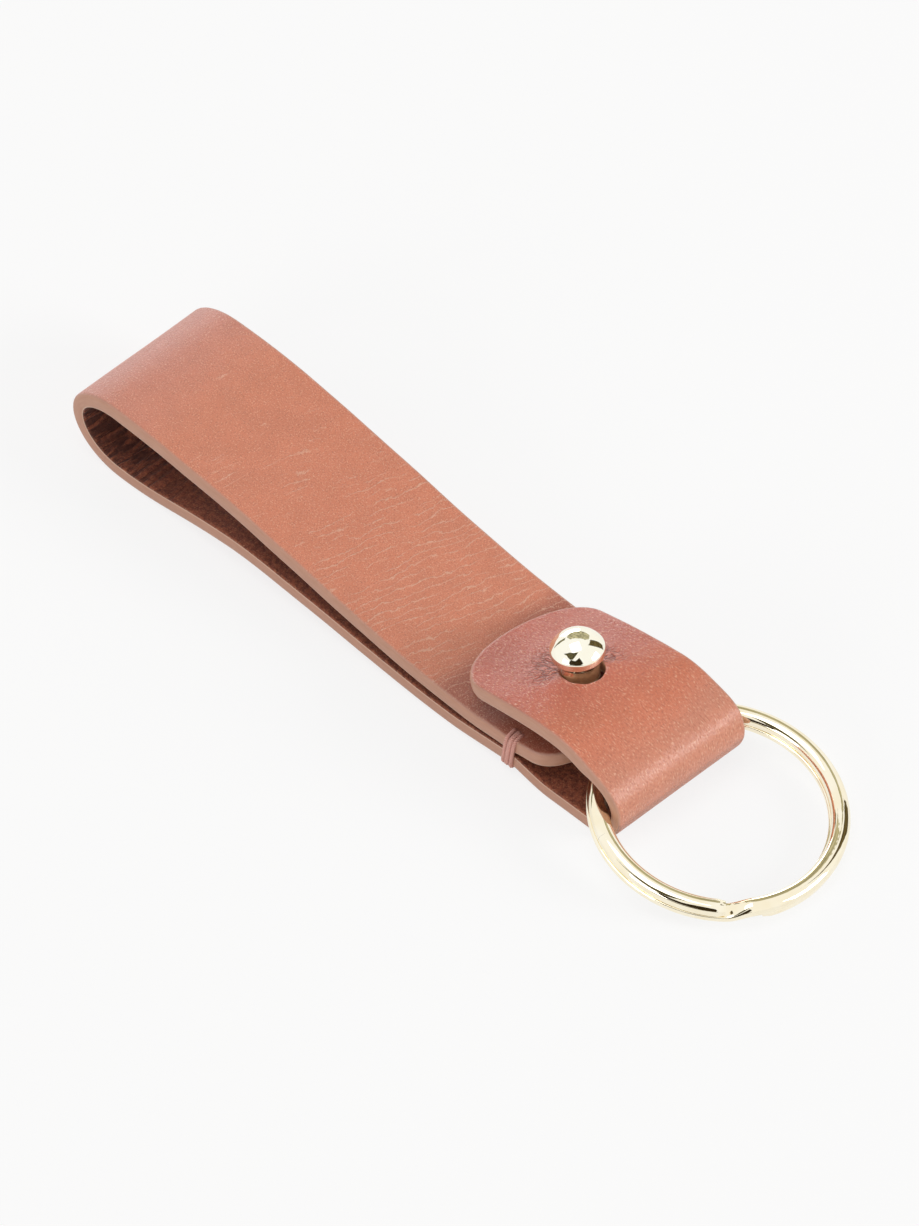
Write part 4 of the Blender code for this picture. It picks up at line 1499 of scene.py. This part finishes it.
@dataclass
class SplitRing:
    """The split ring: two turns of flattened wire, tilted between the table and the fold."""

    band: LeatherBand
    metal: Material
    radius: float = 15.0
    wire_width: float = 2.2
    round_height: float = 1.02
    flat_height: float = 0.33
    lay: float = 0.7
    upper_shift: float = 0.15
    round_power: float = 2.1
    flat_power: float = 6.0
    tilt: float = 7.8
    roll: float = -1.5
    ahead: float = 5.02
    aside: float = 0.1
    height: float = 3.41
    upper_end: float = -43.5
    travel: float = 701.0
    crossing: Pair = (346.5, 358.5)
    pry: float = 70.0
    end_share: float = 0.84
    end_length: float = 4.0
    step: float = 1.2

    def level(self, travel: Array) -> Array:
        """Height of the wire's middle: from the upper turn to the lower over the crossing."""
        return self.lay * (0.5 - smooth_step(travel, *self.crossing))

    def place(self, points: Array) -> Array:
        """Turn points about +X and then about +Y, and carry them to the ring's middle.

        Args:
            points: points in the ring's own plane.

        Returns:
            The points in the row frame.
        """
        tilt = Matrix.Rotation(math.radians(self.tilt), 3, "Y")
        roll = Matrix.Rotation(math.radians(self.roll), 3, "X")
        centre = np.array([self.band.fold_end + self.ahead, self.aside, self.height])
        return points @ np.array(tilt @ roll).T + centre

    def wire(self, start: float, end: float, taper: tuple[bool, bool]) -> Array:
        """Points of a stretch of wire between two angles of travel.

        Half the section is a rounded back, half a nearly flat face: each follows the curve
        |x|^p + |y|^p = 1 with its own power and height. The flat faces of the two turns meet.

        Args:
            start: the first angle of travel, in degrees.
            end: the last angle of travel.
            taper: whether the wire thins towards its start and towards its end.

        Returns:
            The surface's points, n by m by 3.
        """
        travel = np.linspace(start, end, math.ceil((end - start) / self.step) + 1)
        angle = np.radians(self.upper_end - travel)
        out = np.stack([np.cos(angle), np.sin(angle), np.zeros(len(angle))], axis=1)
        upper = self.level(travel) / self.lay + 0.5
        # The upper turn has sprung a little to one side of the lower
        aside = self.upper_shift * upper
        path = (self.radius - self.wire_width / 2) * out
        path += np.stack([aside, aside, self.level(travel)], axis=1)
        cosine, sine = circle(32).T
        outlines = []
        for up in (True, False):
            back = (sine > 0) == up
            power = np.where(back, self.round_power, self.flat_power)
            tall = np.where(back, self.round_height, self.flat_height)
            x = np.sign(cosine) * np.abs(cosine) ** (2 / power) * self.wire_width / 2
            y = np.sign(sine) * np.abs(sine) ** (2 / power) * tall
            outlines.append(np.stack([x, y], axis=1))
        share = upper[:, None, None]
        section = outlines[0][None] * share + outlines[1][None] * (1 - share)
        scale = np.ones(len(travel))
        for thins, past in zip(taper, (travel - start, end - travel)):
            if thins:
                near = smooth_step(past, 0.0, self.end_length)
                scale = np.minimum(scale, self.end_share + (1 - self.end_share) * near)
        grid = sweep(path, out, section, scale)
        return self.place(grid.reshape(-1, 3)).reshape(grid.shape)

    def make(self, name: str, start: float, end: float, taper: tuple[bool, bool]) -> Object:
        """Make a stretch of the ring's wire as a closed piece.

        Args:
            name: the piece's name.
            start: the first angle of travel, in degrees.
            end: the last angle of travel.
            taper: whether the wire thins towards its start and towards its end.

        Returns:
            The piece.
        """
        points, faces = closed_tube(self.wire(start, end, taper), 0)
        return make_object(name, points, faces, [self.metal], sharp_above=50.0)

    def pry_place(self, past: float) -> tuple[float, float, float]:
        """Find a point on the upper turn near where the upper end starts.

        Args:
            past: how many degrees nearer to the wire's tip it is.

        Returns:
            X, Y and Z in metres.
        """
        flat = (self.radius - self.wire_width / 2) * heading(self.upper_end - self.pry + past)
        point = np.array([[*flat, self.lay / 2]])
        return tuple(float(v) for v in self.place(point)[0] * MM)


# Studio


def direction(azimuth: float, elevation: float) -> Vector:
    """The unit vector towards an azimuth from -Y towards +X and an elevation, in degrees."""
    a, e = math.radians(azimuth), math.radians(elevation)
    return Vector((math.sin(a) * math.cos(e), -math.cos(a) * math.cos(e), math.sin(e)))


def stand(name: str, data: bpy.types.ID, place: Vector, back: Vector) -> Object:
    """Stand a camera or a lamp at a place.

    Args:
        name: its name.
        data: its camera or light data.
        place: where it stands, in metres.
        back: the direction that it looks away from.

    Returns:
        The object.
    """
    obj = bpy.data.objects.new(name, data)
    obj.location = place
    obj.rotation_mode = "QUATERNION"
    obj.rotation_quaternion = (-back).to_track_quat("-Z", "Y")
    bpy.context.scene.collection.objects.link(obj)
    return obj


def stage(name: str, points: list[Vector], faces: list[list[int]], material: Material) -> Object:
    """Make a flat or curved sheet that belongs to the studio.

    Args:
        name: its name.
        points: its points, in metres.
        faces: point numbers of each face.
        material: its material.

    Returns:
        The sheet.
    """
    mesh = bpy.data.meshes.new(name)
    mesh.from_pydata(points, [], faces)
    mesh.materials.append(material)
    sheet = bpy.data.objects.new(name, mesh)
    bpy.context.scene.collection.objects.link(sheet)
    return sheet


@dataclass
class PhotoCamera:
    """The camera fitted to the photograph: its direction, distance and focal length in pixels."""

    azimuth: float = 44.85
    elevation: float = 48.0
    distance: float = 1100.0
    focal_pixels: float = 9471.0
    target: tuple[float, float, float] = (-4.02, 3.05, 0.0)
    sensor: float = 36.0

    def make(self) -> Object:
        """Make the camera and give it to the scene.

        Returns:
            The camera.
        """
        back = direction(self.azimuth, self.elevation)
        data = bpy.data.cameras.new("Photo camera")
        data.sensor_fit = "HORIZONTAL"
        data.sensor_width = self.sensor
        data.lens = self.focal_pixels * self.sensor / FRAME_WIDTH
        data.clip_start, data.clip_end = 0.05, 20.0
        place = (Vector(self.target) + back * self.distance) * MM
        camera = stand("Photo camera", data, place, back)
        bpy.context.scene.camera = camera
        return camera


@dataclass(frozen=True)
class Softbox:
    """One white area lamp: where it stands, from the fob's middle, its size and its watts."""

    name: str
    azimuth: float
    elevation: float
    distance: float
    size: Pair
    power: float

    def make(self) -> Object:
        """Make the lamp, facing the fob.

        Returns:
            The lamp.
        """
        way = direction(self.azimuth, self.elevation)
        data = bpy.data.lights.new(self.name, "AREA")
        data.shape = "RECTANGLE"
        data.size, data.size_y = self.size
        data.energy = self.power
        return stand(self.name, data, way * self.distance, way)


@dataclass(frozen=True)
class StudioCard:
    """A curved card that only reflections see: it gives polished metal its dark shapes."""

    name: str
    colour: str
    outline: tuple[Pair, ...]
    distance: float = 0.8
    mottle: float = 0.09
    steps: int = 6
    rings: int = 6

    def make(self) -> Object:
        """Make the card from its outline in azimuth and elevation, shrunk in rings to its middle.

        Returns:
            The card.
        """
        ends = np.array(self.outline + self.outline[:1])
        share = np.arange(0.0, len(self.outline), 1 / self.steps)
        edge = np.stack([np.interp(share, np.arange(len(ends)), end) for end in ends.T], axis=1)
        middle, count = edge.mean(axis=0), len(edge)
        places = [middle + (edge - middle) * size for size in np.linspace(0.02, 1.0, self.rings)]
        points = [direction(*place) * self.distance for place in np.concatenate(places)]
        faces = grid_faces(self.rings, count, 0, wrap=True).tolist() + [list(range(count))]
        material, tree = new_material(self.name + " paper")
        where = add(tree, "TexCoord").outputs["Object"]
        patch = add(tree, "TexNoise", {"Vector": where, "Scale": 1 / self.mottle, "Detail": 3.0})
        tone = add(tree, "MapRange", (patch, 0.35, 0.65, 0.6, 1.5))
        paper = add(tree, "Emission", {"Color": linear(self.colour), "Strength": tone})
        card = stage(self.name, points, faces, close_material(material, paper))
        card.visible_camera = card.visible_diffuse = card.visible_shadow = False
        card.visible_transmission = card.visible_volume_scatter = False
        return card


@dataclass
class Studio:
    """A pale floor, a white surround, soft lamps and dark cards."""

    floor_size: float = 4.0
    floor_colour: str = "f6f5f4"
    floor_glow: float = 0.8
    surround: float = 0.42
    lamps: tuple[Softbox, ...] = (
        Softbox("Key softbox", 118.0, 20.0, 0.9, (0.45, 0.32), 4.0),
        Softbox("Top softbox", -30.0, 80.0, 1.0, (0.6, 0.6), 2.0),
        Softbox("Near softbox", 0.0, 18.0, 1.1, (0.6, 0.35), 2.6),
        Softbox("Left softbox", -120.0, 12.0, 0.9, (0.6, 0.3), 2.2),
    )
    cards: tuple[StudioCard, ...] = (
        StudioCard(
            "Back card",
            "afa98c",
            (
                (-100, 34), (-98, 50), (-135, 58), (-172, 55),
                (-178, 44), (-165, 26), (-140, 19), (-118, 22),
            ),
        ),
        StudioCard(
            "Far card",
            "5c5034",
            (
                (150, 57), (178, 41), (174, 23), (171, 6),
                (168, -12), (160, -12), (156, 10), (151, 34),
            ),
        ),
        StudioCard("Side card", "6f6a4e", ((-72, -4), (-80, 8), (-98, 30), (-88, 34), (-77, 18))),
        StudioCard(
            "High front card",
            "544e38",
            ((-31, 35), (-12, 54), (15, 64), (46, 68), (32, 56), (19, 38), (10, 35), (-13, 40)),
        ),
        StudioCard(
            "Low front card",
            "33291a",
            ((8, 24), (13, 36), (30, 36), (50, 49), (58, 39), (64, 27), (54, 4), (12, 13)),
        ),
        StudioCard("Table card", "5a4d30", ((4, -5), (2, 3), (10, 7), (58, 7), (66, 2), (60, -6))),
    )

    def make(self) -> None:
        """Make the floor, the surround, the lamps and the dark cards."""
        self.make_floor()
        self.make_surround()
        for thing in self.lamps + self.cards:
            thing.make()

    def seen(self, tree: NodeTree) -> Node:
        """One where the camera, a reflection or glass sees the surface, else zero.

        Args:
            tree: the node tree.

        Returns:
            The node with that number.
        """
        path = add(tree, "LightPath").outputs
        rays = (path["Is Camera Ray"], path["Is Glossy Ray"])
        some = add(tree, "Math", rays, operation="MAXIMUM")
        return add(tree, "Math", (some, path["Is Transmission Ray"]), operation="MAXIMUM")

    def make_floor(self) -> None:
        """Make the floor: matt and pale, with a little white of its own where it is seen."""
        material, tree = new_material("Pale paper sweep")
        paper = add(tree, "BsdfDiffuse", {"Color": linear(self.floor_colour), "Roughness": 1.0})
        glow = add(tree, "Emission", {"Color": linear("ffffff"), "Strength": 1.0})
        share = add(tree, "Math", (self.seen(tree), self.floor_glow), operation="MULTIPLY")
        close_material(material, add(tree, "MixShader", (share, paper, glow)))
        half = self.floor_size / 2
        signs = ((-1, -1), (1, -1), (1, 1), (-1, 1))
        points = [Vector((x * half, y * half, 0.0)) for x, y in signs]
        stage("Floor", points, [[0, 1, 2, 3]], material)

    def make_surround(self) -> None:
        """Make the world: white where it is seen, plain soft light otherwise."""
        world = bpy.data.worlds.new("Surround")
        bpy.context.scene.world = world
        world.use_nodes = True
        tree = world.node_tree
        tree.nodes.clear()
        light = (self.seen(tree), 0.0, 1.0, self.surround, 1.0)
        strength = add(tree, "MapRange", light)
        sky = add(tree, "Background", {"Color": linear("ffffff"), "Strength": strength})
        add(tree, "OutputWorld", {"Surface": sky})


def main() -> None:
    """Build the fob, dress it, light it and set the camera."""
    logging.basicConfig(level=logging.INFO, format="%(message)s")
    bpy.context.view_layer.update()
    bpy.context.scene.view_settings.view_transform = "Standard"
    PhotoCamera().make()
    Studio().make()

    band = LeatherBand()
    face = CalfFace(hole=band.hole, flap_start=band.seam)
    leather = [face.material(), EdgePaint().material(), LiningSuede().material()]
    strap = band.make_piece("strap_leather", band.tongue_end, True, 0.5, 73, leather)
    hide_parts("strap_face", "strap_lining")
    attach(strap, "strap")
    flap = band.make_piece("flap_leather", band.flap_end, False, 0.25, 111, leather)
    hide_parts("flap_face", "flap_lining")
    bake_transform(flap)
    LOG.info("Leather band: %d and %d faces", len(strap.data.polygons), len(flap.data.polygons))

    gold = PaleGold().material()
    brass = PaleGold("Pale brass plate", "fffdf0", "faf3dc").material()
    stud = ButtonStud(band, brass)
    for piece, node in ((stud.post(), "stud_post"), (stud.screw(), "stud_screw")):
        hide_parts(node)
        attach(piece, "strap")
        LOG.info("%s: %d faces", piece.name, len(piece.data.polygons))

    thread = WaxedThread().material()
    for name, node, side in (
        ("near_tack_thread", "tack_near", -1),
        ("far_tack_thread", "tack_far", 1),
    ):
        tack = ThreadTack(band, thread, side).make(name)
        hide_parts(node)
        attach(tack, "strap")
        LOG.info("%s: %d faces", name, len(tack.data.polygons))

    ring = SplitRing(band, gold)
    turns = ring.make("ring_turns", ring.pry, ring.travel, (False, True))
    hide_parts("split_ring")
    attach(turns, "ring")
    tip = ring.make("ring_upper_end", 0.0, ring.pry, (True, False))
    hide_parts("ring_free_end")
    ring.pry_place(0.0)
    ring.pry_place(22.0)
    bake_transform(tip)
    LOG.info("Split ring: %d and %d faces", len(turns.data.polygons), len(tip.data.polygons))


if __name__ == "__main__":
    main()
